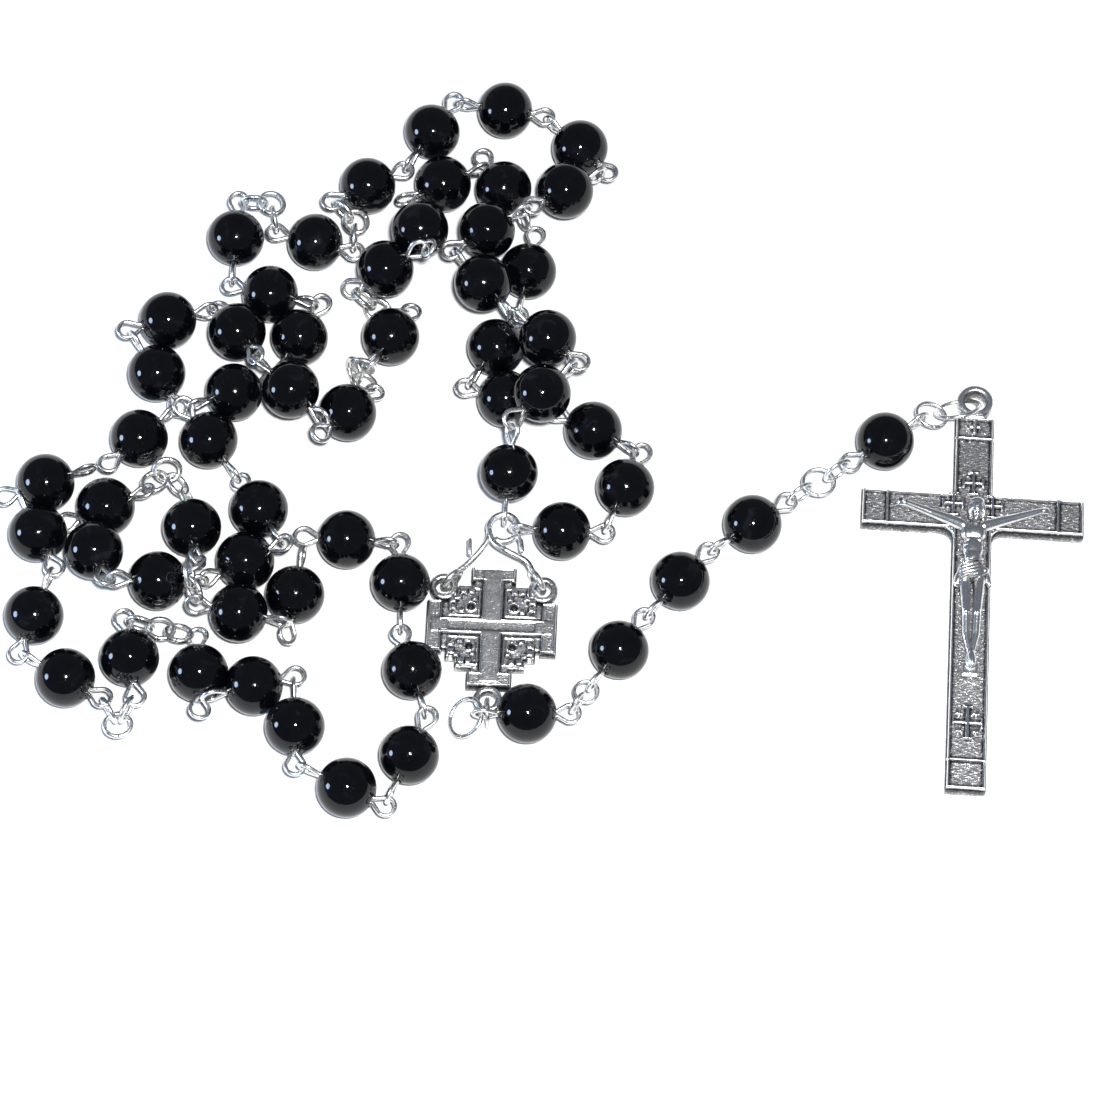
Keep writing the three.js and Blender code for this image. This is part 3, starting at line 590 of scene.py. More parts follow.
def relief(span, distance, height, bottom):
    """A flat-backed relief in its own x and y. distance is negative inside the outline."""
    step = RELIEF_STEP
    x = np.arange(span[0], span[2] + step, step)
    y = np.arange(span[1], span[3] + step, step)
    gx, gy = np.meshgrid(x, y)
    inside = distance(gx[:-1, :-1] + step / 2, gy[:-1, :-1] + step / 2) < 0
    rows, columns = np.nonzero(inside)
    width = gx.shape[1]
    corners = np.stack(
        [rows * width + columns, rows * width + columns + 1,
         (rows + 1) * width + columns + 1, (rows + 1) * width + columns], axis=1)
    used, faces = np.unique(corners, return_inverse=True)
    faces = faces.reshape(corners.shape)
    px, py = gx.ravel()[used], gy.ravel()[used]
    edges = np.concatenate([faces[:, [i, (i + 1) % 4]] for i in range(4)])
    keys = {(a, b) for a, b in edges.tolist()}
    rim = [(a, b) for a, b in keys if (b, a) not in keys]
    on_rim = np.zeros(len(used), bool)
    on_rim[[i for edge in rim for i in edge]] = True
    # Rim points move to the outline along the slope of the distance.
    for _ in range(3):
        d = distance(px, py)
        sx = (distance(px + 0.01, py) - distance(px - 0.01, py)) / 0.02
        sy = (distance(px, py + 0.01) - distance(px, py - 0.01)) / 0.02
        size = np.maximum(sx * sx + sy * sy, 0.25)
        px = np.where(on_rim, px - d * sx / size, px)
        py = np.where(on_rim, py - d * sy / size, py)
    z = height(px, py)
    count = len(used)
    top = np.stack([px, py, z], 1)
    back = np.stack([px, py, np.full(count, bottom)], 1)
    vertices = np.concatenate([top, back])
    all_faces = faces.tolist()
    all_faces += (faces[:, ::-1] + count).tolist()
    all_faces += [[b, a, a + count, b + count] for a, b in rim]
    return vertices, all_faces, count


def painted_light_on_top(top, height):
    """Painted light on a relief's top: a point high beside its surroundings gets 1, a painted highlight,
    and a low point gets 0, painted shade in the recess.
    """
    around = np.zeros(len(top))
    turns = 12
    for ring, weight in ((0.1575, 0.4), (0.35, 0.6)):
        for a in np.linspace(0, 2 * math.pi, turns, endpoint=False):
            x, y = top[:, 0] + ring * math.cos(a), top[:, 1] + ring * math.sin(a)
            around += weight / turns * height(x, y)
    return np.clip(0.56 + (top[:, 2] - around) * 4.2, 0, 1)


def box_d(x, y, x0, y0, x1, y1):
    """Distance to a box, negative inside it."""
    dx = np.maximum(x0 - x, x - x1)
    dy = np.maximum(y0 - y, y - y1)
    outside = np.hypot(np.maximum(dx, 0), np.maximum(dy, 0))
    return outside + np.minimum(np.maximum(dx, dy), 0)


def disc_d(x, y, cx, cy, r):
    return np.hypot(x - cx, y - cy) - r


def step_up(d, width=0.08):
    """1 inside a shape and 0 outside it, with a bevel of this width inside its edge."""
    return np.clip(-d / width, 0, 1)


def place(vertices, origin, turn):
    """A casting's own coordinates turned about z and moved to where it lies."""
    c, s = math.cos(turn), math.sin(turn)
    spun = vertices.copy()
    spun[:, 0] = origin[0] + c * vertices[:, 0] - s * vertices[:, 1]
    spun[:, 1] = origin[1] + s * vertices[:, 0] + c * vertices[:, 1]
    spun[:, 2] = origin[2] + vertices[:, 2]
    return spun


def keep_painted_light(piece, painted_light):
    # Stores painted light on the points: painted highlight near 1, painted shade near 0.
    attribute = piece.data.attributes.new("painted_light", "FLOAT", "POINT")
    attribute.data.foreach_set("value", painted_light.astype(np.float32))


def relief_piece(name, node, span, distance, height, bottom, origin, turn):
    vertices, faces, count = relief(span, distance, height, bottom)
    # Painted light: the back gets a middle value, the top a painted highlight on raised points and
    # painted shade in recesses.
    painted_light = np.full(len(vertices), 0.6)
    painted_light[:count] = painted_light_on_top(vertices[:count], height)
    piece = piece_from(name, place(vertices, origin, turn), faces)
    piece.data.polygons.foreach_set("use_smooth", [max(face) < count for face in faces])
    keep_painted_light(piece, painted_light)
    settle(piece, node, CAST)


def joint_at(name):
    joint = next(j for j in frame["joints"] if j["name"] == name)
    return np.array(joint["pos_m"]) / MM, np.array(joint["axis"])


MEDAL_TABS = ((-MEDAL_TOP_TAB[0], MEDAL_TOP_TAB[1]), MEDAL_TOP_TAB, (0.0, -MEDAL_FOOT_TAB))
MEDAL_INNER = MEDAL_ARM - MEDAL_BAR_DEPTH


def medal_bars(x, y, inset=0.0):
    """Distance to the bars across the ends of the arms."""
    ax, ay = np.abs(x), np.abs(y)
    inner, outer = MEDAL_INNER + inset, MEDAL_ARM - inset
    cap_half, side_half = MEDAL_BAR_WIDTHS
    return np.minimum(
        box_d(ax, ay, -1, inner, cap_half - inset, outer),
        box_d(ax, ay, inner, -1, outer, side_half - inset),
    )


def medal_tabs(x, y):
    d = np.full(x.shape, 9.0)
    for tx, ty in MEDAL_TABS:
        d = np.minimum(d, disc_d(x, y, tx, ty, 1.7))
    return d


def medal_distance(x, y):
    ax, ay = np.abs(x), np.abs(y)
    d = np.minimum(
        box_d(x, y, -MEDAL_ARM_HALF, -MEDAL_ARM, MEDAL_ARM_HALF, MEDAL_ARM),
        box_d(x, y, -MEDAL_ARM, -MEDAL_ARM_HALF, MEDAL_ARM, MEDAL_ARM_HALF),
    )
    d = np.minimum(d, medal_bars(x, y))
    # Each quarter steps down towards its corner, and its plate reaches the bars.
    d = np.minimum(d, box_d(ax, ay, -1, -1, MEDAL_STEP, 4.1))
    d = np.minimum(d, box_d(ax, ay, -1, -1, 4.1, MEDAL_STEP))
    d = np.minimum(d, box_d(ax, ay, -1, -1, MEDAL_INNER + 0.5, 2.9))
    d = np.minimum(d, box_d(ax, ay, -1, -1, 2.2, MEDAL_INNER + 0.5))
    d = np.minimum(d, medal_tabs(x, y))
    for tx, ty in MEDAL_TABS:
        d = np.maximum(d, -disc_d(x, y, tx, ty, 0.97))
    return d


def medal_height(x, y):
    ax, ay = np.abs(x), np.abs(y)
    top = MEDAL_THICK / 2
    low = top - MEDAL_FIELD_DEPTH
    h = np.full(x.shape, low)
    # The big cross: a flat band each way with thin raised edges, and a rimmed bar at each end.
    bands = np.minimum(
        box_d(ax, ay, -1, -1, 1.2, MEDAL_ARM - 0.5),
        box_d(ax, ay, -1, -1, MEDAL_ARM - 0.5, 0.95),
    )
    bars = medal_bars(x, y, 0.1)
    h = np.maximum(h, low + 0.3 * step_up(bars, 0.12))
    h = np.maximum(h, low + 0.37 * step_up(bands, 0.12))
    rims = np.minimum(np.abs(bands + 0.12), np.abs(bars + 0.15)) - 0.13
    joined_up = (bands < -0.3) | (bars < -0.32)
    h = np.maximum(h, low + 0.47 * step_up(rims, 0.09) * ~joined_up)
    # A blank sunk panel along the middle band.
    h = h - 0.12 * step_up(box_d(ax, ay, -1, -1, 5.2, 0.62), 0.08)
    # The four small crosses: little square bosses in steps, with a pit at the inner side.
    cx, cy = ax - 3.3, ay - 3.15
    for bx, by, half in MEDAL_BOSSES:
        boss = box_d(cx - bx, cy - by, -half, -half, half, half)
        h = np.maximum(h, low + 0.38 * step_up(boss, 0.12))
    ring = np.abs(box_d(cx, cy, -1.75, -1.75, 1.75, 1.75)) - 0.11
    h = np.maximum(h, low + 0.24 * step_up(ring, 0.08))
    collar = np.abs(disc_d(ax, ay, MEDAL_PIT, MEDAL_PIT, 0.58)) - 0.1
    h = np.maximum(h, low + 0.26 * step_up(collar, 0.08) * (bands > 0.05))
    h = h - 0.6 * step_up(disc_d(ax, ay, MEDAL_PIT, MEDAL_PIT, 0.48), 0.12)
    tabs = medal_tabs(x, y)
    tab_height = 0.5 - 0.12 * np.clip(1 + tabs / 0.35, 0, 1) ** 2
    on_tab = (tabs < 0) & (bands > 0) & (bars > 0.05) & (np.maximum(ax, ay) > 4.2)
    h = np.where(on_tab, tab_height, h)
    edge = np.clip(1 + medal_distance(x, y) / 0.22, 0, 1)
    h = h - 0.16 * edge**2
    grain = 0.02 * np.sin(x * 9.1 + 2 * np.sin(y * 5.3)) * np.sin(y * 8.3 + 1.7 * np.sin(x * 6.1))
    return h + grain * (step_up(bands) < 0.5)


def medal():
    pos, axis = joint_at("medal_swing")
    across = unit(np.array([axis[0], axis[1], 0]))
    across = across if across[0] > 0 else -across
    up = np.array([-across[1], across[0], 0])
    centre = pos - MEDAL_TOP_TAB[1] * up
    origin = (centre[0], centre[1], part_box("centre_medal")[0].z / MM + MEDAL_THICK / 2)
    turn = math.atan2(across[1], across[0])
    relief_piece("centre_medal_relief", "centre_medal", (-7.9, -11.1, 7.9, 7.9),
                 medal_distance, medal_height, -MEDAL_THICK / 2, origin, turn)
    return origin, turn


medal_origin, medal_turn = medal()


def on_medal(x, y, z=0.0):
    return place(np.array([[x, y, z]]), medal_origin, medal_turn)[0]


def smooth_route(knots, count=6):
    """A smooth curve through these points, with this many steps from one to the next."""
    knots = np.asarray(knots, float)
    padded = np.concatenate([[2 * knots[0] - knots[1]], knots, [2 * knots[-1] - knots[-2]]])
    route = []
    for i in range(len(knots) - 1):
        a, b, c, d = padded[i:i + 4]
        for t in np.linspace(0, 1, count, endpoint=False):
            route.append(0.5 * (2 * b + (c - a) * t + (2 * a - 5 * b + 4 * c - d) * t**2
                                + (3 * b - a - 3 * c + d) * t**3))
    route.append(knots[-1])
    return np.array(route)


def hanger():
    points = points_of("medal_hanger")
    wire = Pile()
    top = points[points[:, 1] > points[:, 1].max() - 0.8]
    far, high = points[:, 1].max(), points[:, 2].max()
    centre = np.array([top[:, 0].mean(), far - HOOK_RING_R - HOOK_WIRE_R, high - HOOK_WIRE_R])
    feet = []
    for sign in (-1, 1):
        tab = on_medal(sign * MEDAL_TOP_TAB[0], MEDAL_TOP_TAB[1])
        way = unit(np.array([centre[0] - tab[0], centre[1] - tab[1], 0]))
        eye = tab + way * HOOK_EYE_R
        # A hook through the tab's hole: a ring standing on edge.
        across = np.cross(way, [0, 0, 1])
        add_link(wire, eye, way, across, HOOK_EYE_R, HOOK_WIRE_R, 1.0, 0.02)
        feet.append((way, eye))
    (way_l, eye_l), (way_r, eye_r) = feet

    def ringed(start, end, count, lift=0.0):
        turns = np.radians(np.linspace(start, end, count))
        return [
            centre + np.array([HOOK_RING_R * math.cos(a), HOOK_RING_R * math.sin(a), lift])
            for a in turns
        ]

    # One wire comes up from the right hook, crosses to the left side of the top ring and goes round.
    right = [
        eye_r + way_r * 1.0 + [0, 0, 0.95],
        eye_r + way_r * 2.6 + [0, 0, 1.2],
        centre + [0.35, -3.1, 0.25],
        centre + [-1.15, -1.9, 0.1],
    ]
    add_tube(wire, smooth_route(right + ringed(188, -120, 20)), HOOK_WIRE_R - 0.02, HOOK_WIRE_SIDES)
    # The other comes up from the left hook and lies along the ring's left side.
    left = [
        eye_l + way_l * 1.0 + [0, 0, 0.95],
        eye_l + way_l * 2.8 + [0.15, 0, 1.0],
        centre + [-1.95, -1.7, -0.1],
    ]
    add_tube(wire, smooth_route(left + ringed(165, 120, 4, -0.12)), HOOK_WIRE_R - 0.04, HOOK_WIRE_SIDES)
    # The cut ends of both wires stand out beside the legs.
    stub = on_medal(-2.96, 8.8, 1.6)
    add_tube(wire, [stub, stub + [-0.02, 0.9, 0.1], stub + [0.0, 1.8, 0.15]], 0.27)
    tail = centre + np.array([1.62, -0.75, 0])
    add_tube(wire, [tail, tail + [0.42, -1.1, 0.1], tail + [0.55, -2.3, 0.1]], 0.3)
    finish_piece(wire, "medal_hanger_wire", "medal_hanger", WIRE)


hanger()

PLAIN_RINGS = [
    "medal_foot_ring", "loose_jump_ring", "pendant_ring_1", "pendant_ring_2",
    "pendant_chain_link_1", "pendant_chain_link_2", "pendant_chain_link_3",
    "crucifix_chain_ring", "crucifix_ring",
]


def plain_rings():
    for node in PLAIN_RINGS:
        points = points_of(node)
        centre, axis = points.mean(0), main_axis(points, largest=False)
        away = points - centre
        height = away @ axis
        radial = np.linalg.norm(away - height[:, None] * axis, axis=1)
        wire_r = (radial.max() - radial.min()) / 2
        radius = (radial.max() + radial.min()) / 2
        along = unit(np.cross(axis, [0.1, 0.95, 0.3]))
        wire = Pile()
        squeeze = 0.97 if "link" not in node else 0.93
        add_link(wire, centre, along, axis, radius, wire_r, squeeze, 0.12)
        finish_piece(wire, node + "_wire", node, WIRE)


plain_rings()


def pendant_beads():
    names = ["single_1", "three_1", "three_2", "three_3", "single_2"]
    for number, name in enumerate(names):
        bead_node, pin_node = f"pendant_{name}_bead", f"pendant_{name}_pin"
        centre = bead_centre(points_of(bead_node))
        pin = points_of(pin_node)
        along = main_axis(pin)
        glass, wire = Pile(), Pile()
        add_bead(glass, centre, along, 900 + number)
        for way in (along, -along):
            # The first pin's near eye is a little larger than the others.
            reach = ((pin - centre) @ way).max()
            radius = max(EYE_R, reach - EYE_OFFSET - EYE_WIRE_R)
            across = ring_axis(pin, centre + EYE_OFFSET * way, way, EYE_R, EYE_WIRE_R)
            add_eye(wire, centre, way, across, LOOP_OFFSET + radius - EYE_R)
        shank = (LEG_START + 0.1) * along  # a little beyond where the legs of the eyes begin
        add_tube(wire, [centre - shank, centre + shank], EYE_WIRE_R)
        finish_piece(glass, bead_node + "_glass", bead_node, GLASS)
        finish_piece(wire, pin_node + "_wire", pin_node, WIRE)


pendant_beads()


# ---------------------------------------------------------------- crucifix

HALF_W = CROSS_W / 2
ARM_TOP = -CROSS_ARM_Y + HALF_W
ARM_FOOT = -CROSS_ARM_Y - HALF_W


def cross_body(x, y):
    """Distance to the upright and the arms, with a small fillet under each arm."""
    upright = box_d(x, y, -HALF_W, -CROSS_FOOT, HALF_W, -CROSS_TOP)
    arms = box_d(x, y, -CROSS_ARM_HALF, ARM_FOOT, CROSS_ARM_HALF, ARM_TOP)
    ax = np.abs(x)
    fx, fy = HALF_W + CROSS_FILLET, ARM_FOOT - CROSS_FILLET
    corner = box_d(ax, y, HALF_W - 0.3, fy, fx, ARM_FOOT + 0.3)
    fillet = np.maximum(corner, -disc_d(ax, y, fx, fy, CROSS_FILLET))
    return np.minimum(np.minimum(upright, arms), fillet)


def bail_disc(x, y):
    """Distance to the bail and its neck, as if it had no hole."""
    neck = box_d(x, y, -NECK_HALF, -CROSS_TOP - 0.5, NECK_HALF, -1.2)
    return np.minimum(disc_d(x, y, 0, 0, BAIL_R), neck)


def cross_distance(x, y):
    d = np.minimum(cross_body(x, y), bail_disc(x, y))
    return np.maximum(d, -disc_d(x, y, 0, 0, BAIL_HOLE_R))


def cross_height(x, y):
    field = CROSS_T - CROSS_FIELD_DEPTH
    body = cross_body(x, y)
    # A raised rim round the whole cross, and raised lines between its panels.
    lines = np.abs(body + CROSS_RIM / 2 + 0.1) - CROSS_RIM / 2
    for line_y in CROSS_PANEL_LINES:
        lines = np.minimum(lines, np.maximum(np.abs(y - line_y) - 0.22, body))
    arm_line = np.maximum(np.abs(np.abs(x) - CROSS_ARM_LINE) - 0.2, np.abs(y + CROSS_ARM_Y) - HALF_W)
    lines = np.minimum(lines, np.maximum(arm_line, body))
    h = field + CROSS_FIELD_DEPTH * step_up(lines, 0.12)
    # A plain small cross on the top panel.
    small = np.minimum(
        box_d(x, y, -0.28, -4.45, 0.28, -2.65),
        box_d(x, y, -0.8, -3.75, 0.8, -3.25),
    )
    h = np.maximum(h, field + 0.3 * step_up(small, 0.12))
    # Three crosses with barred ends stand out behind the head.
    for cx, cy in CROSSES_BEHIND_HEAD:
        ux, uy = np.abs(x - cx), y - cy
        arms = np.minimum(box_d(ux, uy, -1, -1.5, 0.2, 1.5), box_d(ux, uy, -1, -0.12, 1.25, 0.3))
        caps = box_d(ux, np.abs(uy), -1, 1.25, 0.7, 1.6)
        ends = np.minimum(caps, box_d(ux, uy, 1.0, -0.55, 1.35, 0.72))
        h = np.maximum(h, field + CROSS_FIELD_DEPTH * step_up(np.minimum(arms, ends), 0.1))
    # An emblem of one large and four small crosses in a sunk field.
    ax, ay = np.abs(x), np.abs(y - EMBLEM_Y)
    sunk = box_d(ax, ay, -1, -1, 1.9, 2.3)
    h = h - 0.18 * step_up(sunk, 0.2) * (h < field + 0.1)
    big = np.minimum(box_d(ax, ay, -1, -1, 0.24, 2.1), box_d(ax, ay, -1, -1, 1.8, 0.24))
    ends = np.minimum(box_d(ax, ay, -1, 1.85, 0.7, 2.15), box_d(ax, ay, 1.55, -1, 1.82, 0.7))
    tx, ty = ax - 1.0, ay - 1.12
    tiny = np.minimum(
        box_d(tx, ty, -0.12, -0.42, 0.12, 0.42),
        box_d(tx, ty, -0.42, -0.12, 0.42, 0.12),
    )
    h = np.maximum(h, field + 0.36 * step_up(np.minimum(big, ends), 0.1))
    h = np.maximum(h, field + 0.28 * step_up(tiny, 0.08))
    # The field is finely dimpled.
    dimples = np.sin(x * 13.0 + 1.6 * np.sin(y * 7.1)) * np.sin(y * 12.1 + 1.9 * np.sin(x * 8.3))
    h = h + 0.035 * dimples * (h < field + 0.1)
    edge = np.clip(1 + body / 0.25, 0, 1)
    h = h - 0.2 * edge**2
    # The bail is smooth and rounds off to its outline and to its hole.
    bail, hole = bail_disc(x, y), disc_d(x, y, 0, 0, BAIL_HOLE_R)
    round_off = 0.18 * (np.clip(1 + bail / 0.3, 0, 1) ** 2 + np.clip(1 - hole / 0.3, 0, 1) ** 2)
    return np.where((body > -0.02) & (bail < 0.3), CROSS_T - 0.1 - round_off, h)


def crucifix():
    pos, _ = joint_at("crucifix_turn")
    points = points_of("crucifix_cross")
    way = main_axis(points)
    way = way if way[1] > 0 else -way
    turn = math.atan2(way[1], way[0]) - math.pi / 2
    origin = (pos[0], pos[1], points[:, 2].min())
    relief_piece("crucifix_cross_relief", "crucifix_cross", (-13.6, -50.9, 13.6, 2.3),
                 cross_distance, cross_height, 0.0, origin, turn)
    return origin, turn


cross_origin, cross_turn = crucifix()


# ---------------------------------------------------------------- the figure, one skin over many shapes

FIGURE_Z = CROSS_T + FIGURE_GAP
SHOULDER_Y = -CROSS_ARM_Y - 2.4
HIP_Y = SHOULDER_Y - 6.3


def blob(shapes, centre, sizes, turn=0.0):
    """A rounded mass with these half sizes, turned about z."""
    bpy.ops.mesh.primitive_uv_sphere_add(segments=28, ring_count=18, radius=1)
    ball = bpy.context.object
    ball.location = Vector(centre) * MM
    ball.scale = Vector(sizes) * MM
    ball.rotation_euler = (0, 0, turn)
    shapes.append(ball)


def limb(shapes, points, radii):
    """A tapering limb through these points, as a row of balls."""
    points = np.asarray(points, float)
    for i in range(len(points) - 1):
        length = np.linalg.norm(points[i + 1] - points[i])
        count = max(2, int(length / 0.16))
        for k in range(count + 1):
            t = k / count
            spot = points[i] * (1 - t) + points[i + 1] * t
            size = radii[i] * (1 - t) + radii[i + 1] * t
            at = Vector(spot) * MM
            bpy.ops.mesh.primitive_ico_sphere_add(subdivisions=2, radius=size * MM, location=at)
            shapes.append(bpy.context.object)


def head(shapes, z):
    """Bowed a little to one side, with plain even features, long hair and a short beard."""
    hx, hy = 0.35, -CROSS_ARM_Y - 0.2
    blob(shapes, (hx, hy, z + 1.35), (0.78, 1.0, 0.85))
    blob(shapes, (hx + 0.05, hy - 0.62, z + 1.3), (0.5, 0.62, 0.6))
    blob(shapes, (hx + 0.02, hy - 0.12, z + 2.16), (0.13, 0.3, 0.16))
    for sign in (-1, 1):
        blob(shapes, (hx + sign * 0.3, hy + 0.14, z + 2.0), (0.26, 0.1, 0.13))
        blob(shapes, (hx + sign * 0.42, hy - 0.3, z + 1.78), (0.24, 0.26, 0.2))
        blob(shapes, (hx + sign * 0.78, hy - 0.25, z + 1.15), (0.3, 1.05, 0.6), sign * 0.12)
        blob(shapes, (hx + sign * 0.7, hy - 1.0, z + 0.95), (0.28, 0.6, 0.5), sign * 0.2)
    blob(shapes, (hx + 0.02, hy - 0.55, z + 1.93), (0.28, 0.09, 0.12))
    blob(shapes, (hx, hy + 0.55, z + 1.3), (0.92, 0.68, 0.9))
    blob(shapes, (hx + 0.04, hy - 0.95, z + 1.45), (0.42, 0.5, 0.45))
    limb(shapes, [(hx, hy - 0.9, z + 0.9), (0.05, SHOULDER_Y - 0.2, z + 0.75)], [0.5, 0.6])


def trunk(shapes, z):
    """Chest, ribs and belly, and a loincloth with folds, a knot on one side and a flare on both."""
    chest, hip = SHOULDER_Y, HIP_Y
    blob(shapes, (0, chest - 1.1, z + 0.9), (1.5, 1.35, 0.85))
    blob(shapes, (-0.62, chest - 1.2, z + 1.35), (0.72, 0.85, 0.42))
    blob(shapes, (0.62, chest - 1.2, z + 1.35), (0.72, 0.85, 0.42))
    blob(shapes, (0, chest - 3.1, z + 0.95), (1.2, 1.9, 0.78))
    for rib in range(3):
        for sign in (-1, 1):
            at = (sign * 0.68, chest - 2.2 - 0.55 * rib, z + 1.35 - 0.05 * rib)
            blob(shapes, at, (0.5, 0.16, 0.35), sign * -0.5)
    blob(shapes, (0, chest - 4.4, z + 1.1), (1.0, 1.1, 0.72))
    blob(shapes, (0, hip + 0.1, z + 0.95), (1.8, 1.35, 0.95))
    for fold in range(6):
        lift = 0.42 * (fold - 2.5)
        blob(shapes, (-0.1, hip + 0.15 + lift, z + 1.42), (1.55, 0.13, 0.58), 0.32)
    blob(shapes, (1.45, hip + 0.2, z + 1.1), (0.52, 0.5, 0.6))
    blob(shapes, (1.9, hip - 0.8, z + 0.7), (0.4, 1.1, 0.5), 0.25)
    blob(shapes, (-1.55, hip - 0.7, z + 0.75), (0.55, 1.25, 0.55), -0.3)


def arms(shapes, z):
    """The arms reach out and slightly up to open hands, each with a nail's head."""
    hand_y = -CROSS_ARM_Y + 0.2
    for sign in (-1, 1):
        route = [
            (sign * 1.25, SHOULDER_Y - 0.15, z + 0.95),
            (sign * 3.0, SHOULDER_Y + 0.62, z + 0.78),
            (sign * 4.9, SHOULDER_Y + 1.35, z + 0.62),
            (sign * 7.9, hand_y - 0.12, z + 0.55),
        ]
        limb(shapes, route, [0.74, 0.64, 0.54, 0.4])
        blob(shapes, (sign * 8.45, hand_y, z + 0.5), (0.62, 0.42, 0.32), sign * 0.1)
        for finger in range(4):
            y = hand_y - 0.28 + 0.19 * finger
            tip = (sign * 9.2, y + 0.06 * (finger - 1), z + 0.42)
            limb(shapes, [(sign * 8.6, y, z + 0.5), tip], [0.12, 0.09])
        thumb = [(sign * 8.3, hand_y + 0.28, z + 0.55), (sign * 8.75, hand_y + 0.62, z + 0.5)]
        limb(shapes, thumb, [0.14, 0.1])
        blob(shapes, (sign * 8.45, hand_y, z + 0.82), (0.16, 0.16, 0.1))


def legs(shapes, z):
    """Legs side by side with the knees forward, and the feet one over the other on a small block."""
    knee_y, ankle_y = SHOULDER_Y - 11.6, FIGURE_FEET_Y + 2.4
    left = [
        (-0.82, HIP_Y - 0.8, z + 0.9),
        (-0.66, knee_y, z + 1.3),
        (-0.56, knee_y - 2.6, z + 0.8),
        (-0.2, ankle_y, z + 0.72),
    ]
    right = [
        (0.88, HIP_Y - 0.8, z + 0.9),
        (0.66, knee_y + 0.1, z + 1.35),
        (0.6, knee_y - 2.6, z + 0.85),
        (0.3, ankle_y, z + 0.8),
    ]
    for route in (left, right):
        limb(shapes, route, [0.74, 0.5, 0.48, 0.3])
    for sign in (-1, 1):
        blob(shapes, (sign * 0.68, knee_y, z + 1.6), (0.36, 0.44, 0.3))
    blob(shapes, (-0.05, FIGURE_FEET_Y + 1.2, z + 0.72), (0.5, 1.15, 0.42), 0.05)
    blob(shapes, (0.2, FIGURE_FEET_Y + 1.3, z + 1.05), (0.46, 1.1, 0.4), 0.1)
    at = Vector((0.05, FIGURE_FEET_Y + 0.1, z + 0.35)) * MM
    bpy.ops.mesh.primitive_cube_add(size=2, location=at)
    block = bpy.context.object
    block.scale = Vector((0.95, 0.7, 0.42)) * MM
    shapes.append(block)


def one_skin(shapes, name):
    """Joins the shapes and draws one smooth closed skin over them."""
    bpy.ops.object.select_all(action="DESELECT")
    for shape in shapes:
        shape.select_set(True)
    bpy.context.view_layer.objects.active = shapes[0]
    bpy.ops.object.transform_apply(location=True, rotation=True, scale=True)
    bpy.ops.object.join()
    piece = bpy.context.object
    piece.name = piece.data.name = name
    remesh = piece.modifiers.new("skin", "REMESH")
    remesh.mode = "VOXEL"
    remesh.voxel_size = SKIN_STEP * MM
    smooth = piece.modifiers.new("smooth", "SMOOTH")
    smooth.factor = 0.5
    smooth.iterations = 3
    for modifier in list(piece.modifiers):
        bpy.ops.object.modifier_apply(modifier=modifier.name)
    return piece


def painted_light_on_skin(mesh, local):
    """Painted light on the figure: points that stand out of their surroundings, and points facing up, are
    painted lighter as a painted highlight, and hollows are painted dark as painted shade.
    """
    normals = vertex_rows(mesh, "normal")
    edges = np.zeros(len(mesh.edges) * 2, np.int32)
    mesh.edges.foreach_get("vertices", edges)
    one, other = edges.reshape(-1, 2).T
    count = len(local)
    links = np.bincount(one, minlength=count) + np.bincount(other, minlength=count)
    around = local.copy()
    for _ in range(40):
        total = [
            np.bincount(one, around[other, k], count) + np.bincount(other, around[one, k], count)
            for k in range(3)
        ]
        around = np.stack(total, axis=1) / links[:, None]
    stands_out = ((local - around) * normals).sum(1)
    # Standing out adds painted highlight and hollows get painted shade; facing up adds more painted
    # highlight, as if lit from above.
    return np.clip(0.5 + 2.6 * stands_out + 0.16 * normals[:, 2], 0, 1)


def figure():
    shapes = []
    for part in (head, trunk, arms, legs):
        part(shapes, FIGURE_Z)
    piece = one_skin(shapes, "crucifix_figure_relief")
    mesh = piece.data
    local = vertex_rows(mesh, "co").astype(float) / MM
    local[:, 2] = np.maximum(local[:, 2], FIGURE_Z)
    # The figure's painted highlight and painted shade go into its colour.
    keep_painted_light(piece, painted_light_on_skin(mesh, local))
    placed = place(local, cross_origin, cross_turn) * MM
    mesh.vertices.foreach_set("co", placed.astype(np.float32).ravel())
    mesh.polygons.foreach_set("use_smooth", [True] * len(mesh.polygons))
    mesh.materials.clear()
    settle(piece, "crucifix_figure", CAST)


figure()


# ---------------------------------------------------------------- floor, light and camera

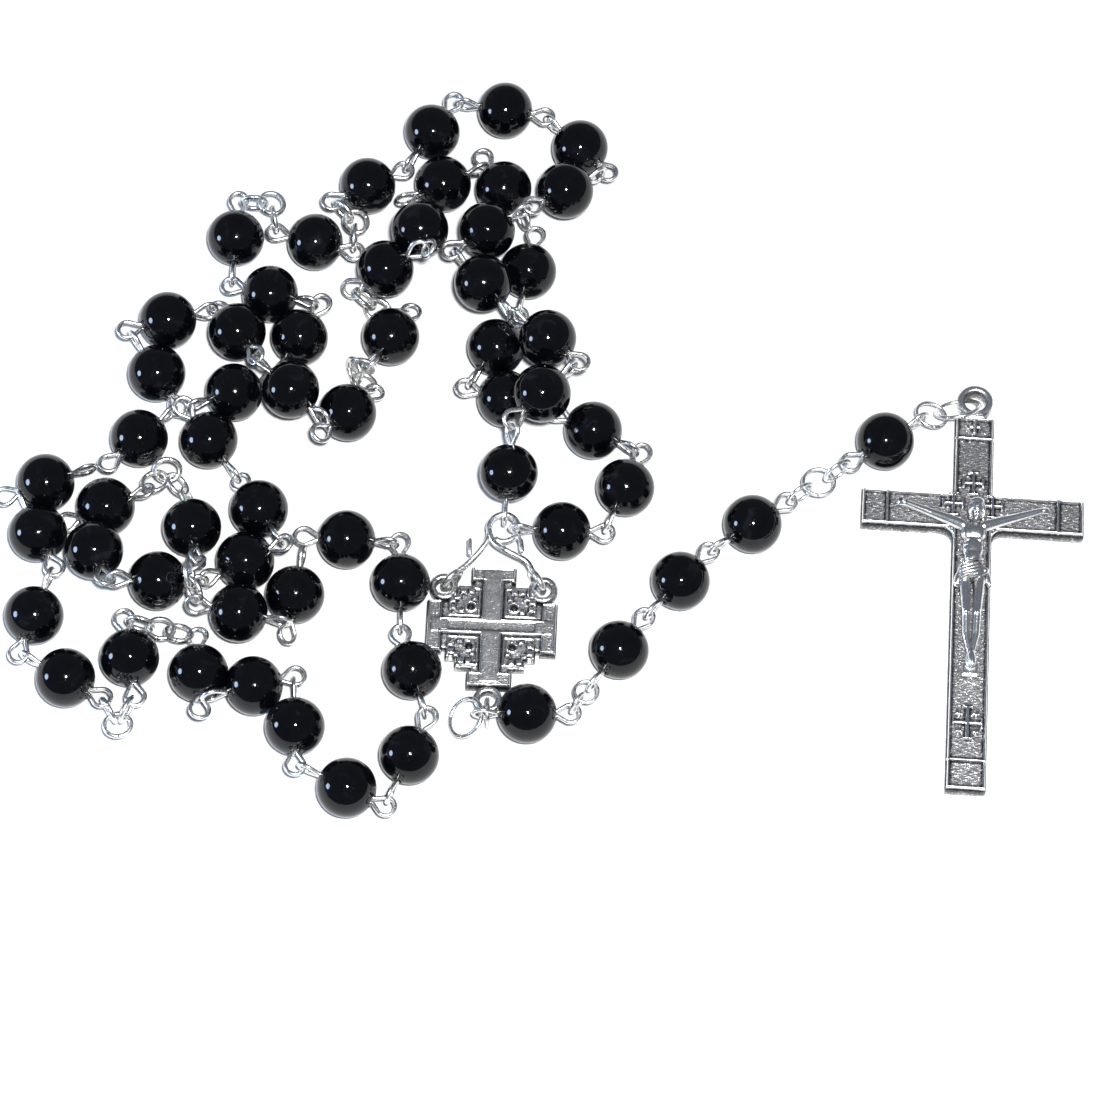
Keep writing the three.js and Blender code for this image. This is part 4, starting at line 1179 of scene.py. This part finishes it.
def floor():
    """A pale table top, a hair below the lowest piece."""
    m = Nodes("pale_floor")
    tone = [(0.35, (0.86, 0.87, 0.88)), (0.65, (0.92, 0.92, 0.92))]
    m.drive("Base Color", m.ramp(m.noise(60, 4), tone))
    m.set(Roughness=0.75, Specular_IOR_Level=0.2)
    corners = [(x * FLOOR_HALF, y * FLOOR_HALF, 0) for x, y in ((-1, -1), (1, -1), (1, 1), (-1, 1))]
    piece = piece_from("table_top", corners, [[0, 1, 2, 3]])
    piece.location.z = -FLOOR_DROP
    piece.data.materials.append(m.material)


def area_light(name, at, target, size, power, colour):
    data = bpy.data.lights.new(name, "AREA")
    data.energy = power
    data.size = size * MM
    data.color = colour
    data.shape = "DISK"
    lamp = bpy.data.objects.new(name, data)
    bpy.context.scene.collection.objects.link(lamp)
    lamp.location = at * MM
    lamp.rotation_euler = (target - at).to_track_quat("-Z", "Y").to_euler()


def camera():
    """Looks down at the strand from its foot end. Gives where the camera stands."""
    elevation = math.radians(CAMERA_ELEVATION)
    data = bpy.data.cameras.new("camera")
    data.sensor_width = CAMERA_SENSOR
    data.lens = CAMERA_LENS
    data.clip_start = 0.01
    view = bpy.data.objects.new("camera", data)
    bpy.context.scene.collection.objects.link(view)
    at = CAMERA_TARGET + CAMERA_DISTANCE * Vector((0, -math.cos(elevation), math.sin(elevation)))
    view.location = at * MM
    view.rotation_euler = (CAMERA_TARGET - at).to_track_quat("-Z", "Y").to_euler()
    bpy.context.scene.camera = view
    return at


floor()
flash_at = camera() + FLASH_FROM_CAMERA
area_light("flash", flash_at, CAMERA_TARGET, FLASH_SIZE, FLASH_POWER, FLASH_COLOUR)
area_light("window", WINDOW_AT, Vector((0, 0, 0)), WINDOW_SIZE, WINDOW_POWER, WINDOW_COLOUR)
world = bpy.data.worlds.new("room")
world.use_nodes = True
background = world.node_tree.nodes["Background"]
background.inputs["Color"].default_value = ROOM_COLOUR
background.inputs["Strength"].default_value = ROOM_STRENGTH
bpy.context.scene.world = world
bpy.context.scene.view_settings.view_transform = "Standard"
